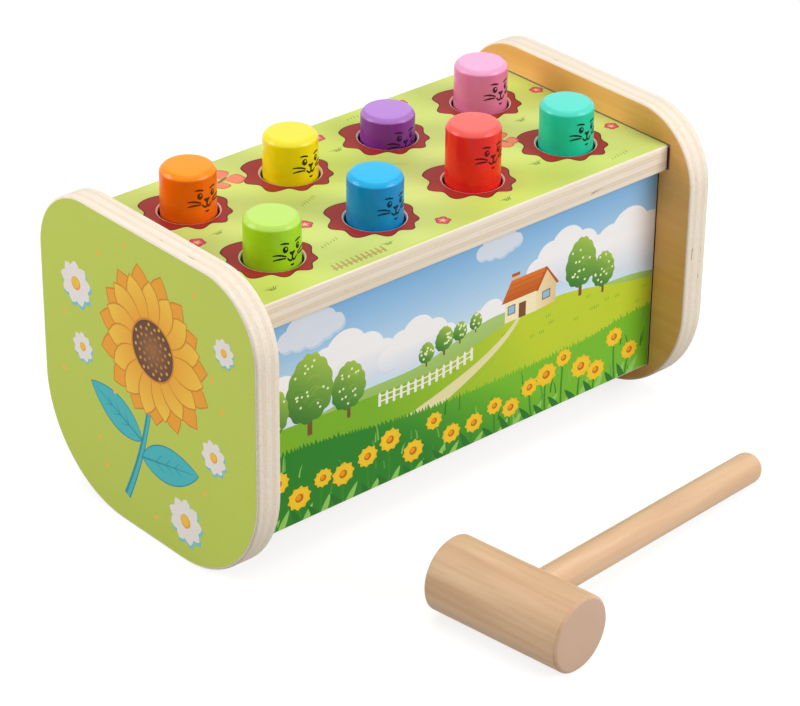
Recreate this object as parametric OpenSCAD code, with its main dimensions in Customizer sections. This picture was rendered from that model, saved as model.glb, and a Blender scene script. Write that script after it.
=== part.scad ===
// Peg pounding bench: a box of plywood panels with crosswise pairs of pegs on see-saw rockers, and its mallet.
// X runs along the bench, the front of the bench faces -Y, and the origin is on the floor under the middle.

/* [Pegs] */
// Distance between neighbours along the bench
peg_pitch = 55; // [48:0.5:65]
// Distance between the two rows
row_span = 55; // [50:0.5:65]
// Diameter of a peg
peg_d = 24; // [18:0.5:26]
// Length of a peg
peg_l = 68; // [60:1:80]
// Rounding of a peg's top edge
peg_round = 2.2; // [0.5:0.1:5]
// Height of a level peg above the top board
peg_rise = 20.5; // [14:0.5:26]
// Diameter of the disc that stops a peg under the guide board
base_d = 32; // [28:0.5:36]
// Thickness of that disc
base_t = 5; // [3:0.5:8]
// Diameter of the boss under the disc
boss_d = 14; // [10:0.5:16]
// Height of the boss under the disc
boss_h = 8; // [6:0.5:12]

/* [Top and side boards] */
// Height of the top board's upper face above the floor
top_z = 130; // [120:1:145]
// Thickness of the top board
top_t = 12; // [9:0.5:15]
// Diameter of the holes in the top board
hole_d = 26; // [25:0.5:32]
// Distance from the last pegs to the end panels
end_margin = 33; // [30:0.5:40]
// Distance from a row of pegs to the side panel
side_margin = 19; // [17:0.5:26]
// Thickness of a side panel
side_t = 6; // [4:0.5:9]
// Width of the top board's ledge over a side panel
ledge_w = 5.5; // [0:0.5:10]
// Height of the side panels' lower edge above the floor
skirt_z = 18; // [6:1:26]
// Thickness of the bottom board
bottom_t = 6; // [4:0.5:9]
// Side of a square corner post
post_w = 14; // [8:0.5:16]

/* [End panels] */
// Thickness of an end panel
end_t = 12; // [10:0.5:18]
// Height of an end panel above the top board
end_rise = 14; // [8:0.5:24]
// Width of an end panel beside the top board, on each side
end_wing = 14.5; // [4:0.5:24]
// Radius of the two upper corners
crown_r = 32; // [10:1:50]
// Radius of the two lower corners
foot_r = 52; // [34:1:65]
// Chamfer along the edges of an end panel
end_chamfer = 1.2; // [0.4:0.1:3]

/* [See-saw] */
// Travel of a peg up or down from level
stroke = 10; // [6:0.5:12]
// Thickness of the guide board
guide_t = 6; // [4:0.5:9]
// Diameter of the round nose at a rocker's end
nose_d = 14; // [11:0.5:16]
// Diameter of a rocker's hub
hub_d = 16; // [12:0.5:20]
// Height of a rocker's bar
bar_h = 8; // [6:0.5:9.5]
// Width of a rocker along the axle
rocker_w = 18; // [12:0.5:24]
// Diameter of the axle rod
axle_d = 6; // [4:0.5:8]
// Depth of the axle's seat in an end panel
axle_seat = 6; // [3:0.5:8]
// Outer diameter of a spacer sleeve
sleeve_d = 10; // [9:0.5:14]
// Lift of the back peg of each pair from level, from the near end to the far end
rest_lifts = [0.8, -0.8, -6.7, 0]; // [-10:0.1:10]

/* [Fastenings] */
// Diameter of a dowel between the top board and an end panel
dowel_d = 6; // [4:0.5:8]
// Length of a dowel
dowel_l = 24; // [16:1:28]
// Depth of a dowel in an end panel
dowel_seat = 8; // [5:0.5:9]
// Distance between the two dowels at one end
dowel_span = 80; // [60:1:90]
// Diameter of a wood screw's shank
screw_d = 3; // [2:0.25:4]
// Length of a wood screw
screw_l = 24; // [18:1:28]
// Diameter of a wood screw's head
screw_head_d = 6; // [5:0.25:8]

/* [Mallet] */
// Diameter of the mallet's head
head_d = 33.5; // [26:0.5:45]
// Length of the mallet's head
head_l = 68.5; // [50:0.5:90]
// Chamfer of the head's two rims
head_chamfer = 1.2; // [0.4:0.1:3]
// Diameter of the handle
handle_d = 14; // [10:0.5:18]
// Distance from the head's axis to the handle's tip
handle_reach = 165; // [120:1:200]
// Depth of the handle's seat past the head's axis
handle_seat = 7; // [2:0.5:10]
// Rounding of the handle's tip
handle_round = 4.5; // [1:0.5:5]
// Place of the head's middle along the bench
mallet_x = -61.5; // [-100:0.5:0]
// Place of the head's middle in front of the bench's middle
mallet_y = -153; // [-220:1:-130]
// Turn of the handle from the bench's length, in degrees
mallet_turn = 7.5; // [-10:0.5:20]

/* [Hidden] */
$fn = 96;
// Clearance of pieces that are glued or screwed into a hole
seat_gap = 0.05;
// Clearance of a rocker on the axle, at the radius
axle_gap = 0.075;
// Gap between a rocker and what stands on it or lies beside it
run_gap = 0.3;
// Clearance of a peg in the guide board, at the radius
guide_gap = 0.5;
// Gap left between a peg's disc and the guide board at the end of the travel
stop_gap = 0.5;
// Depth of a peg screw's head below the disc's face
sink = 0.4;
// Extra length of a cut past the face it opens
over = 1;

pair_shares = [-1.5, -0.5, 0.5, 1.5];
pair_xs = [for (share = pair_shares) share * peg_pitch];
arm = row_span / 2;
row_ys = [arm, -arm];
inner_l = 2 * (pair_xs[len(pair_xs) - 1] + end_margin);
inner_w = row_span + 2 * side_margin;
top_w = inner_w + 2 * (side_t + ledge_w);
end_w = top_w + 2 * end_wing;
end_h = top_z + end_rise;
under_top = top_z - top_t;
bottom_top = skirt_z + bottom_t;
foot_h = base_t + boss_h;
base_top = top_z + peg_rise - peg_l;
guide_z = base_top + stroke + stop_gap;
pivot_z = base_top - foot_h - run_gap - nose_d / 2;
post_x = inner_l / 2 - post_w / 2;
post_y = inner_w / 2 - post_w / 2;
dowel_z = top_z - top_t / 2;
tip_contact = handle_reach - handle_round;
handle_slope = asin(head_d / 2 / norm([tip_contact, handle_d / 2])) - atan2(handle_d / 2, tip_contact);

back_names = ["orange", "yellow", "violet", "pink"];
front_names = ["lime", "blue", "red", "teal"];
peg_names = concat(back_names, front_names);
back_colours = [[0.95, 0.50, 0.08], [0.97, 0.87, 0.20], [0.58, 0.32, 0.68], [0.93, 0.62, 0.80]];
front_colours = [[0.70, 0.88, 0.38], [0.12, 0.62, 0.85], [0.90, 0.28, 0.22], [0.25, 0.80, 0.66]];
peg_colours = concat(back_colours, front_colours);
peg_indices = [0:len(peg_names) - 1];
pair_indices = [0:len(pair_xs) - 1];

function pair_of(i) = i % len(pair_xs);
function row_of(i) = floor(i / len(pair_xs));
function peg_lift(i) = rest_lifts[pair_of(i)] * (row_of(i) == 0 ? 1 : -1);
function peg_foot(i) = [pair_xs[pair_of(i)], row_ys[row_of(i)], base_top + peg_lift(i)];
function rest_tilt(pair) = asin(rest_lifts[pair] / arm);
function rocker_name(pair) = str("rocker_", pair + 1);

// A block centred on the origin in X and Y that stands on z
module block(l, w, h, z) {
    translate([-l / 2, -w / 2, z]) cube([l, w, h]);
}

// The place of every peg's axis at the height z
module at_pegs(z) {
    for (x = pair_xs, y = row_ys) translate([x, y, z]) children();
}

// The four inside corners of the box, at the height z
module at_posts(z) {
    for (x = [-post_x, post_x], y = [-post_y, post_y]) translate([x, y, z]) children();
}

// Half a section through a panel's rim: r out to the edge, chamfered on both faces
module rim_section(r) {
    half = end_t / 2;
    flat = half - end_chamfer;
    polygon([[0, -half], [r - end_chamfer, -half], [r, -flat], [r, flat], [r - end_chamfer, half], [0, half]]);
}

// A round corner of a panel, centred at [y, z], that fills the quarter from start on
module rim_corner(y, z, r, start) {
    translate([0, y, z]) rotate([90, 0, 90]) rotate([0, 0, start])
        rotate_extrude(angle = 90) rim_section(r);
}

// A straight stretch of a panel's rim, l long and r deep, that faces the turn's direction
module rim_run(y, z, r, l, turn) {
    translate([0, y, z]) rotate([90, 0, 90]) rotate([0, 0, turn]) rotate([90, 0, 0])
        linear_extrude(height = l, center = true) rim_section(r);
}

// An end panel's board, centred on x = 0, with its foot on the floor
module end_board() {
    crown_y = end_w / 2 - crown_r;
    crown_z = end_h - crown_r;
    foot_y = end_w / 2 - foot_r;
    wall_l = crown_z - foot_r;
    wall_z = (crown_z + foot_r) / 2;
    union() {
        for (side = [0, 1]) mirror([0, side, 0]) {
            rim_corner(crown_y, crown_z, crown_r, 0);
            rim_corner(foot_y, foot_r, foot_r, -90);
            rim_run(foot_y, wall_z, foot_r, wall_l, 0);
            translate([-end_t / 2, foot_y, crown_z])
                cube([end_t, crown_y - foot_y, crown_r - end_chamfer]);
        }
        rim_run(0, crown_z, crown_r, 2 * crown_y, 90);
        rim_run(0, foot_r, foot_r, 2 * foot_y, -90);
        translate([-end_t / 2, -foot_y, foot_r]) cube([end_t, 2 * foot_y, wall_l]);
    }
}

// A blind hole in the inner face of the far end panel
module seat_hole(y, z, d, depth) {
    translate([inner_l / 2 - over, y, z]) rotate([0, 90, 0])
        cylinder(d = d + 2 * seat_gap, h = over + depth + seat_gap);
}

// The end panel at +X, bored for the axle and the dowels
module end_panel() {
    difference() {
        translate([inner_l / 2 + end_t / 2, 0, 0]) end_board();
        seat_hole(0, pivot_z, axle_d, axle_seat);
        for (y = [-dowel_span / 2, dowel_span / 2]) seat_hole(y, dowel_z, dowel_d, dowel_seat);
    }
}

module far_end_panel() {
    color([0.80, 0.66, 0.44]) end_panel();
}

module near_end_panel() {
    color([0.73, 0.79, 0.38]) mirror([1, 0, 0]) end_panel();
}

module top_board() {
    bite = dowel_l - dowel_seat;
    color([0.81, 0.88, 0.43]) difference() {
        block(inner_l, top_w, top_t, under_top);
        at_pegs(under_top - over) cylinder(d = hole_d, h = top_t + 2 * over);
        for (end = [0, 1], y = [-dowel_span / 2, dowel_span / 2])
            mirror([end, 0, 0]) translate([inner_l / 2 - bite - seat_gap, y, dowel_z])
                rotate([0, 90, 0]) cylinder(d = dowel_d + 2 * seat_gap, h = bite + seat_gap + over);
    }
}

module side_panel() {
    translate([0, inner_w / 2 + side_t / 2, 0]) block(inner_l, side_t, under_top - skirt_z, skirt_z);
}

module back_panel() {
    color([0.60, 0.78, 0.86]) side_panel();
}

module front_panel() {
    color([0.60, 0.78, 0.86]) mirror([0, 1, 0]) side_panel();
}

// A wood screw that points up, with the flat of its head on the origin and slack added all round
module wood_screw(slack) {
    head_h = (screw_head_d - screw_d) / 2;
    rotate_extrude() polygon([
        [0, 0],
        [screw_head_d / 2 + slack, 0],
        [screw_d / 2 + slack, head_h],
        [screw_d / 2 + slack, screw_l + slack],
        [0, screw_l + slack]
    ]);
}

module bottom_board() {
    color([0.85, 0.72, 0.52]) difference() {
        block(inner_l, inner_w, bottom_t, skirt_z);
        at_posts(skirt_z) wood_screw(seat_gap);
        at_posts(skirt_z - over) cylinder(d = screw_head_d + 2 * seat_gap, h = over);
    }
}

module corner_posts() {
    color([0.85, 0.72, 0.52]) difference() {
        at_posts(bottom_top) block(post_w, post_w, guide_z - bottom_top, 0);
        at_posts(skirt_z) wood_screw(seat_gap);
    }
}

module bottom_screws() {
    color([0.75, 0.75, 0.77]) at_posts(skirt_z) wood_screw(0);
}

module guide_board() {
    color([0.85, 0.72, 0.52]) difference() {
        block(inner_l, inner_w, guide_t, guide_z);
        at_pegs(guide_z - over) cylinder(d = peg_d + 2 * guide_gap, h = guide_t + 2 * over);
    }
}

module top_dowels() {
    color([0.86, 0.74, 0.56]) for (end = [0, 1], y = [-dowel_span / 2, dowel_span / 2])
        mirror([end, 0, 0]) translate([inner_l / 2 + dowel_seat - dowel_l, y, dowel_z])
            rotate([0, 90, 0]) cylinder(d = dowel_d, h = dowel_l);
}

module rocker_axle() {
    rod_l = inner_l + 2 * axle_seat;
    color([0.75, 0.75, 0.77]) translate([-rod_l / 2, 0, pivot_z]) rotate([0, 90, 0]) cylinder(d = axle_d, h = rod_l);
}

// A sleeve on the axle from one place along the bench to another
module sleeve(from, to) {
    translate([from, 0, pivot_z]) rotate([0, 90, 0]) difference() {
        cylinder(d = sleeve_d, h = to - from);
        translate([0, 0, -over]) cylinder(d = axle_d + 2 * seat_gap, h = to - from + 2 * over);
    }
}

module axle_spacers() {
    reach = rocker_w / 2 + run_gap;
    last = len(pair_xs) - 1;
    color([0.88, 0.80, 0.64]) {
        sleeve(-inner_l / 2, pair_xs[0] - reach);
        for (pair = [1:last]) sleeve(pair_xs[pair - 1] + reach, pair_xs[pair] - reach);
        sleeve(pair_xs[last] + reach, inner_l / 2);
    }
}

// A see-saw bar with a round nose under each peg of its pair, at its rest tilt
module rocker(pair) {
    color([0.85, 0.72, 0.52]) translate([pair_xs[pair], 0, pivot_z]) rotate([rest_tilt(pair), 0, 0]) difference() {
        union() {
            block(rocker_w, row_span, bar_h, -bar_h / 2);
            for (y = row_ys) translate([-rocker_w / 2, y, 0]) rotate([0, 90, 0]) cylinder(d = nose_d, h = rocker_w);
            translate([-rocker_w / 2, 0, 0]) rotate([0, 90, 0]) cylinder(d = hub_d, h = rocker_w);
        }
        translate([-rocker_w / 2 - over, 0, 0]) rotate([0, 90, 0])
            cylinder(d = axle_d + 2 * axle_gap, h = rocker_w + 2 * over);
    }
}

// A turned peg with a rounded top edge, bored from below for its screw
module peg(i) {
    color(peg_colours[i]) translate(peg_foot(i)) difference() {
        rotate_extrude() {
            square([peg_d / 2, peg_l - peg_round]);
            square([peg_d / 2 - peg_round, peg_l]);
            translate([peg_d / 2 - peg_round, peg_l - peg_round]) intersection() {
                circle(r = peg_round);
                square(peg_round);
            }
        }
        translate([0, 0, sink - foot_h]) wood_screw(seat_gap);
    }
}

// The turned foot of a peg: a disc that stops it under the guide board and a boss that stands on the rocker
module peg_base(i) {
    color([0.85, 0.72, 0.52]) translate(peg_foot(i)) difference() {
        union() {
            translate([0, 0, -base_t]) cylinder(d = base_d, h = base_t);
            translate([0, 0, -foot_h]) cylinder(d = boss_d, h = foot_h);
        }
        translate([0, 0, sink - foot_h]) wood_screw(seat_gap);
        translate([0, 0, -foot_h - over]) cylinder(d = screw_head_d + 2 * seat_gap, h = over + sink);
    }
}

module peg_screw(i) {
    color([0.75, 0.75, 0.77]) translate(peg_foot(i)) translate([0, 0, sink - foot_h]) wood_screw(0);
}

// Where the mallet lies: the head's axis level, the handle sloping down until its tip meets the floor
module mallet_pose() {
    translate([mallet_x, mallet_y, head_d / 2]) rotate([0, 0, mallet_turn]) rotate([0, handle_slope, 0]) children();
}

module mallet_head() {
    rim_l = head_l / 2 - head_chamfer;
    color([0.84, 0.69, 0.52]) mallet_pose() difference() {
        rotate([90, 0, 0]) rotate_extrude() polygon([
            [0, -head_l / 2],
            [head_d / 2 - head_chamfer, -head_l / 2],
            [head_d / 2, -rim_l],
            [head_d / 2, rim_l],
            [head_d / 2 - head_chamfer, head_l / 2],
            [0, head_l / 2]
        ]);
        translate([-handle_seat - seat_gap, 0, 0]) rotate([0, 90, 0])
            cylinder(d = handle_d + 2 * seat_gap, h = handle_seat + seat_gap + head_d / 2 + over);
    }
}

module mallet_handle() {
    stem_l = handle_seat + handle_reach;
    color([0.87, 0.73, 0.55]) mallet_pose() translate([-handle_seat, 0, 0]) rotate([0, 90, 0]) rotate_extrude() {
        square([handle_d / 2, stem_l - handle_round]);
        square([handle_d / 2 - handle_round, stem_l]);
        translate([handle_d / 2 - handle_round, stem_l - handle_round]) intersection() {
            circle(r = handle_round);
            square(handle_round);
        }
    }
}

near_end_panel();
far_end_panel();
top_board();
front_panel();
back_panel();
bottom_board();
guide_board();
corner_posts();
rocker_axle();
axle_spacers();
top_dowels();
bottom_screws();
for (pair = pair_indices) rocker(pair);
for (i = peg_indices) peg(i);
for (i = peg_indices) peg_base(i);
for (i = peg_indices) peg_screw(i);
mallet_head();
mallet_handle();
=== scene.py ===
import math
import random

import bmesh
import bpy
from mathutils import Matrix, Vector
from mathutils.geometry import delaunay_2d_cdt


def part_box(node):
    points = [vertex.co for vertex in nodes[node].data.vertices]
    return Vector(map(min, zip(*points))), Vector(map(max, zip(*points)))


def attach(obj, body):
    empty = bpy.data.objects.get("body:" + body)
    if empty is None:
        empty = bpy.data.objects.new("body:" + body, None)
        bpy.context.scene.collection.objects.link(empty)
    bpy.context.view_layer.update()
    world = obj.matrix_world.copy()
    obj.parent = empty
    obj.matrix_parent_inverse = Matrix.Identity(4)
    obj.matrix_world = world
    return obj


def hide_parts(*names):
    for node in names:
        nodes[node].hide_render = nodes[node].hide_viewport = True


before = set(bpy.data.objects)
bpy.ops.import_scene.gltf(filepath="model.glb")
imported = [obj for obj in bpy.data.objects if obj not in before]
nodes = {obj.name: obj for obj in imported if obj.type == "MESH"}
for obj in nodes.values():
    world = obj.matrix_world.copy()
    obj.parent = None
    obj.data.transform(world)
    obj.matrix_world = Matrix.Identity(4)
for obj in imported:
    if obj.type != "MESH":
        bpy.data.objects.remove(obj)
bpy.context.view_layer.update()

mm = 0.001
fullTurn = 2.0 * math.pi
goldenTurn = 2.39996  # from one seed to the next in a sunflower
white = (1.0, 1.0, 1.0, 1.0)


# Objects and colours

def addObject(name, data):
    piece = bpy.data.objects.new(name, data)
    bpy.context.scene.collection.objects.link(piece)
    return piece


def carry(name, mesh, body, slot, node=None):  # a finished piece, on the body that it moves with
    piece = addObject(name, mesh)
    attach(piece, body)
    if node:
        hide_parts(node)


def dress(names, finish):  # a finish for CAD nodes whose shape stays
    for name in names:
        for holder in nodes[name].material_slots:
            holder.material = finish


def paint255(colour):  # a colour as seen on screen, as Blender's linear values
    shares = [c / 255.0 for c in colour]
    linear = [c / 12.92 if c <= 0.04045 else ((c + 0.055) / 1.055) ** 2.4 for c in shares]
    return tuple(linear) + (1.0,)


# Shader and geometry node trees, with sums written as Python

def findSocket(sockets, key):
    if isinstance(key, int):
        return sockets[key]
    for socket in sockets:
        if socket.identifier == key:
            return socket
    return sockets[key]


class Wire:  # one output in a tree; sums and products of wires add Math nodes
    def __init__(self, tree, socket=None):
        self.tree = tree
        self.socket = socket

    def add(self, kind, settings=None, sockets=None, out=0):  # a list links several wires to one socket
        node = self.tree.nodes.new(kind)
        for key, value in (settings or {}).items():
            setattr(node, key, value)
        for key, value in (sockets or {}).items():
            socket = findSocket(node.inputs, key)
            for item in value if isinstance(value, list) else [value]:
                if isinstance(item, Wire):
                    self.tree.links.new(item.socket, socket)
                else:
                    socket.default_value = item
        return Wire(self.tree, findSocket(node.outputs, out) if node.outputs else None)

    def maths(self, operation, first, second=0.0):
        return self.add("ShaderNodeMath", {"operation": operation}, {0: first, 1: second})

    def __add__(self, other):
        return self.maths("ADD", self, other)

    def __radd__(self, other):
        return self.maths("ADD", other, self)

    def __sub__(self, other):
        return self.maths("SUBTRACT", self, other)

    def __rsub__(self, other):
        return self.maths("SUBTRACT", other, self)

    def __mul__(self, other):
        return self.maths("MULTIPLY", self, other)

    def __rmul__(self, other):
        return self.maths("MULTIPLY", other, self)

    def __abs__(self):
        return self.maths("ABSOLUTE", self)


def newMaterial(name):
    material = bpy.data.materials.new(name)
    material.use_nodes = True
    material.node_tree.nodes.clear()
    return material, Wire(material.node_tree)


def closeMaterial(w, sockets):
    shader = w.add("ShaderNodeBsdfPrincipled", None, sockets)
    w.add("ShaderNodeOutputMaterial", None, {"Surface": shader})


def closeSurface(w, look, tone, vary, height, more=None):  # roughness follows a pattern, with a fine relief
    strength, depth = look["bump"]
    relief = w.add("ShaderNodeBump", None, {"Height": height, "Strength": strength, "Distance": depth})
    closeMaterial(w, {
        "Base Color": tone,
        "Roughness": look["rough"] + (vary - 0.5) * look["spread"],
        "Normal": relief,
        "Specular IOR Level": look["shine"],
        **(more or {}),
    })


def soft(w, value, low, high):  # 0 below low, 1 above high, smooth between
    sockets = {"Value": value, "From Min": low, "From Max": high}
    return w.add("ShaderNodeMapRange", {"interpolation_type": "SMOOTHSTEP"}, sockets)


def mixed(w, factor, first, second, blend="MIX"):  # three plain numbers are a colour as seen on screen
    sockets = {"Factor_Float": factor}
    for key, tone in (("A_Color", first), ("B_Color", second)):
        sockets[key] = paint255(tone) if isinstance(tone, tuple) and len(tone) == 3 else tone
    return w.add("ShaderNodeMix", {"data_type": "RGBA", "blend_type": blend}, sockets, "Result_Color")


def noise(w, coords, scale, detail=3.0, rough=0.55):
    sockets = {"Vector": coords, "Scale": scale, "Detail": detail, "Roughness": rough}
    return w.add("ShaderNodeTexNoise", None, sockets)


def fibres(w, coords, axis, size, detail=4.0, rough=0.6):  # streaks, sized on an axis and across it
    scale = [1.0 / size[1]] * 3
    scale[axis] = 1.0 / size[0]
    drawn = w.add("ShaderNodeVectorMath", {"operation": "MULTIPLY"}, {0: coords, 1: tuple(scale)})
    return noise(w, drawn, 1.0, detail, rough)


def objectCoords(w):
    return w.add("ShaderNodeTexCoord", out="Object")


def turnedCoords(w, place, turn):  # coordinates in a piece's own axes
    sockets = {"Vector": objectCoords(w), "Location": place, "Rotation": turn}
    return w.add("ShaderNodeMapping", {"vector_type": "TEXTURE"}, sockets)


def axisOf(w, coords, axis):
    return w.add("ShaderNodeSeparateXYZ", None, {"Vector": coords}, axis)


def joined(w, x=0.0, y=0.0, z=0.0):
    return w.add("ShaderNodeCombineXYZ", None, {"X": x, "Y": y, "Z": z})


def seenRays(w):  # 1 where the camera, gloss or glass looks, 0 for light that falls on the object
    rays = ("Is Camera Ray", "Is Glossy Ray", "Is Transmission Ray")
    seen, gloss, glass = (w.add("ShaderNodeLightPath", out=kind) for kind in rays)
    return seen + gloss + glass


# Camera, floor and light

camera = {
    "lens": 139.85, "sensor": 36.0, "farClip": 40.0,
    "azimuth": -41.69, "elevation": 29.44, "roll": 0.68,
    "place": (-0.78504, -0.89470, 0.71518),
}
studio = {
    "floorHalf": 6.0, "floorGrey": 0.36, "floorVary": 0.01, "floorPatch": 3.0, "floorLift": 0.76,
    "sky": 0.28, "skySeen": 1.0, "aim": (0.0, 0.0, 0.07),
    "lamps": [  # place, size, watts
        ("topBox", (0.05, -0.10, 1.60), 1.80, 13.0),
        ("keyBox", (0.80, -1.60, 0.95), 1.30, 25.2),
        ("sideBox", (-1.40, 1.00, 0.80), 1.10, 20.6),
    ],
}


def setCamera():
    azimuth, elevation, roll = (math.radians(camera[k]) for k in ("azimuth", "elevation", "roll"))
    flat = math.cos(elevation)
    back = Vector((math.sin(azimuth) * flat, -math.cos(azimuth) * flat, math.sin(elevation)))
    right = Vector((math.cos(azimuth), math.sin(azimuth), 0.0))
    up = back.cross(right)
    across = right * math.cos(roll) + up * math.sin(roll)
    upright = up * math.cos(roll) - right * math.sin(roll)
    data = bpy.data.cameras.new("photoCamera")
    data.lens = camera["lens"]
    data.sensor_width = camera["sensor"]
    data.sensor_fit = "HORIZONTAL"
    data.clip_end = camera["farClip"]
    eye = addObject("photoCamera", data)
    turn = Matrix((across, upright, back)).transposed().to_4x4()
    eye.matrix_world = Matrix.Translation(camera["place"]) @ turn
    bpy.context.scene.camera = eye


def setFloor():
    material, w = newMaterial("paleFloor")
    grey = studio["floorGrey"]
    light = grey + studio["floorVary"]
    patches = noise(w, objectCoords(w), studio["floorPatch"], 2.0)
    tone = mixed(w, patches, (grey, grey, grey, 1.0), (light, light, light, 1.0))
    matt = w.add("ShaderNodeBsdfDiffuse", None, {"Color": tone})
    strength = seenRays(w) * studio["floorLift"]
    lift = w.add("ShaderNodeEmission", None, {"Color": white, "Strength": strength})
    both = w.add("ShaderNodeAddShader", None, {0: matt, 1: lift})
    w.add("ShaderNodeOutputMaterial", None, {"Surface": both})
    half = studio["floorHalf"]
    mesh = bpy.data.meshes.new("paleFloor")
    corners = [(x, y, 0.0) for x, y in rect(-half, -half, half, half)]
    mesh.from_pydata(corners, [], [(0, 1, 2, 3)])
    mesh.materials.append(material)
    addObject("paleFloor", mesh)


def setLight():
    world = bpy.data.worlds.new("softRoom")
    bpy.context.scene.world = world
    world.use_nodes = True
    world.node_tree.nodes.clear()
    w = Wire(world.node_tree)
    strength = studio["sky"] + seenRays(w) * (studio["skySeen"] - studio["sky"])
    room = w.add("ShaderNodeBackground", None, {"Color": white, "Strength": strength})
    w.add("ShaderNodeOutputWorld", None, {"Surface": room})
    for name, place, size, watts in studio["lamps"]:
        lamp = bpy.data.lights.new(name, "AREA")
        lamp.shape = "DISK"
        lamp.size = size
        lamp.energy = watts
        holder = addObject(name, lamp)
        holder.location = place
        aim = Vector(studio["aim"]) - Vector(place)
        holder.rotation_euler = aim.to_track_quat("-Z", "Y").to_euler()
    bpy.context.scene.view_settings.view_transform = "Standard"


# Finishes: colours as seen on screen, sizes in metres, bump as strength and depth

plyFinish = {
    "pale": (240, 229, 213), "paleDeep": (230, 215, 193), "cross": (230, 214, 188), "glue": (202, 175, 141),
    # the dark brown of hole and groove walls is partly burn, partly painted shade of the recess
    "slit": (112, 80, 52), "scorchAndShade": (98, 56, 22), "veneer": (246, 193, 113), "veneerDeep": (231, 170, 88),
    "streak": (0.045, 0.0009), "edgeStreak": (0.0005, 0.03), "edgeMark": 0.6,
    "slitSize": (0.0012, 0.011), "slitCut": (0.72, 0.76), "slitMark": 0.7,
    "plyBlur": 0.015, "glueLine": (0.008, 0.022),  # these and the depths are shares of the thickness
    "scorchDepth": (0.01, 0.03), "veneerDepth": (0.004, 0.02), "figure": (0.14, 0.011),
    "glueMark": 0.28, "scorchShadeMark": 0.85, "scorchBlur": 0.0005, "scorchFade": 0.0008,
    "waveScale": 70.0, "wave": 0.03, "poreScale": 1900.0, "patchScale": 28.0,
    "rough": 0.62, "spread": 0.2, "bump": (0.25, 0.0002), "shine": 0.35,
}


def burntAndShaded(w, coords, zone):  # darker walls in holes and grooves: partly cutter burn, partly painted shade of the recess
    halfWidth, foot, top = zone
    blur, fade = plyFinish["scorchBlur"], plyFinish["scorchFade"]
    height = axisOf(w, coords, 2)
    inside = 1 - soft(w, abs(axisOf(w, coords, 1)), halfWidth - blur, halfWidth)
    return inside * soft(w, height, foot, foot + blur) * (1 - soft(w, height, top - fade, top))


def plyWood(name, node, axis, grain, plies, mirrored=False, veneered=False, contrast=1.0, cut=None):
    look = plyFinish
    low, high = (corner[axis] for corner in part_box(node))
    centre, half = plies  # where the cross plies lie, as shares of the thickness
    material, w = newMaterial(name)
    coords = objectCoords(w)
    depth = axisOf(w, coords, axis)
    if mirrored:
        depth = abs(depth)
    level = (depth - low) * (1.0 / (high - low))
    wavy = level + (noise(w, coords, look["waveScale"], 2.0) - 0.5) * look["wave"]
    away = abs(abs(wavy - 0.5) - centre)
    cross = 1 - soft(w, away, half - look["plyBlur"], half + look["plyBlur"])
    glue = 1 - soft(w, abs(away - half), *look["glueLine"])
    streaks = fibres(w, coords, grain, look["streak"])
    edgeStreaks = fibres(w, coords, axis, look["edgeStreak"], 4.0, 0.55)
    slits = soft(w, fibres(w, coords, axis, look["slitSize"], 1.0, 0.55), *look["slitCut"]) * cross
    pores = noise(w, coords, look["poreScale"], 2.0, 0.7)
    patches = noise(w, coords, look["patchScale"], 2.0)
    long = mixed(w, soft(w, streaks, 0.3, 0.75), look["pale"], look["paleDeep"])
    long = mixed(w, soft(w, edgeStreaks, 0.45, 0.8) * look["edgeMark"], long, look["paleDeep"])
    end = mixed(w, soft(w, pores, 0.4, 0.75), look["cross"], look["glue"])
    end = mixed(w, 0.55, end, look["cross"])
    tone = mixed(w, cross * (0.45 + patches * 0.6) * contrast, long, end)
    tone = mixed(w, glue * (look["glueMark"] * contrast), tone, look["glue"])
    tone = mixed(w, slits * look["slitMark"], tone, look["slit"])
    # the walls of holes and the groove are painted darker: partly cutter burn, partly painted shade of the
    # recess
    if cut:
        burntShade = burntAndShaded(w, coords, cut)
        if veneered:
            burntShade = burntShade * soft(w, level, *look["scorchDepth"])
        tone = mixed(w, burntShade * look["scorchShadeMark"], tone, look["scorchAndShade"])
    if veneered:  # a warmer bare veneer on the inner face
        inner = 1 - soft(w, level, *look["veneerDepth"])
        figure = fibres(w, coords, grain, look["figure"], 3.0)
        shade = soft(w, streaks * 0.25 + figure * 0.75, 0.25, 0.75)
        tone = mixed(w, inner, tone, mixed(w, shade, look["veneer"], look["veneerDeep"]))
    closeSurface(w, look, tone, streaks, streaks * 0.6 + pores * 0.4)
    return material


innerFinish = {
    "pale": (228, 200, 156), "deep": (206, 170, 122), "figure": (0.09, 0.005), "streak": (0.030, 0.0007),
    "rough": 0.66, "spread": 0.2, "bump": (0.25, 0.0002), "shine": 0.35,
}


def plainWood(name, along):
    look = innerFinish
    material, w = newMaterial(name)
    coords = objectCoords(w)
    figure = fibres(w, coords, along, look["figure"], 3.0)
    streaks = fibres(w, coords, along, look["streak"])
    tone = mixed(w, soft(w, figure * 0.5 + streaks * 0.5, 0.32, 0.68), look["pale"], look["deep"])
    closeSurface(w, look, tone, streaks, streaks)
    return material


beechFinish = {
    "pale": (218, 182, 144), "deep": (196, 156, 118), "fleck": (176, 134, 98),
    "handlePale": (228, 192, 154), "handleDeep": (210, 170, 132),
    "endPale": (204, 170, 144), "endDeep": (197, 162, 135),
    "figure": (0.11, 0.0085), "streak": (0.035, 0.0012), "poreScale": 2600.0, "endBlur": (0.0005, 0.0001),
    "dart": (0.0045, 0.00042), "dartCut": (0.64, 0.76), "dartMark": 0.4,
    "heart": (0.031, -0.022), "ring": 0.0026, "wobble": 0.0016, "wobbleScale": 60.0,
    "rough": 0.52, "spread": 0.22, "bump": (0.22, 0.0002), "shine": 0.4,
}


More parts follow.
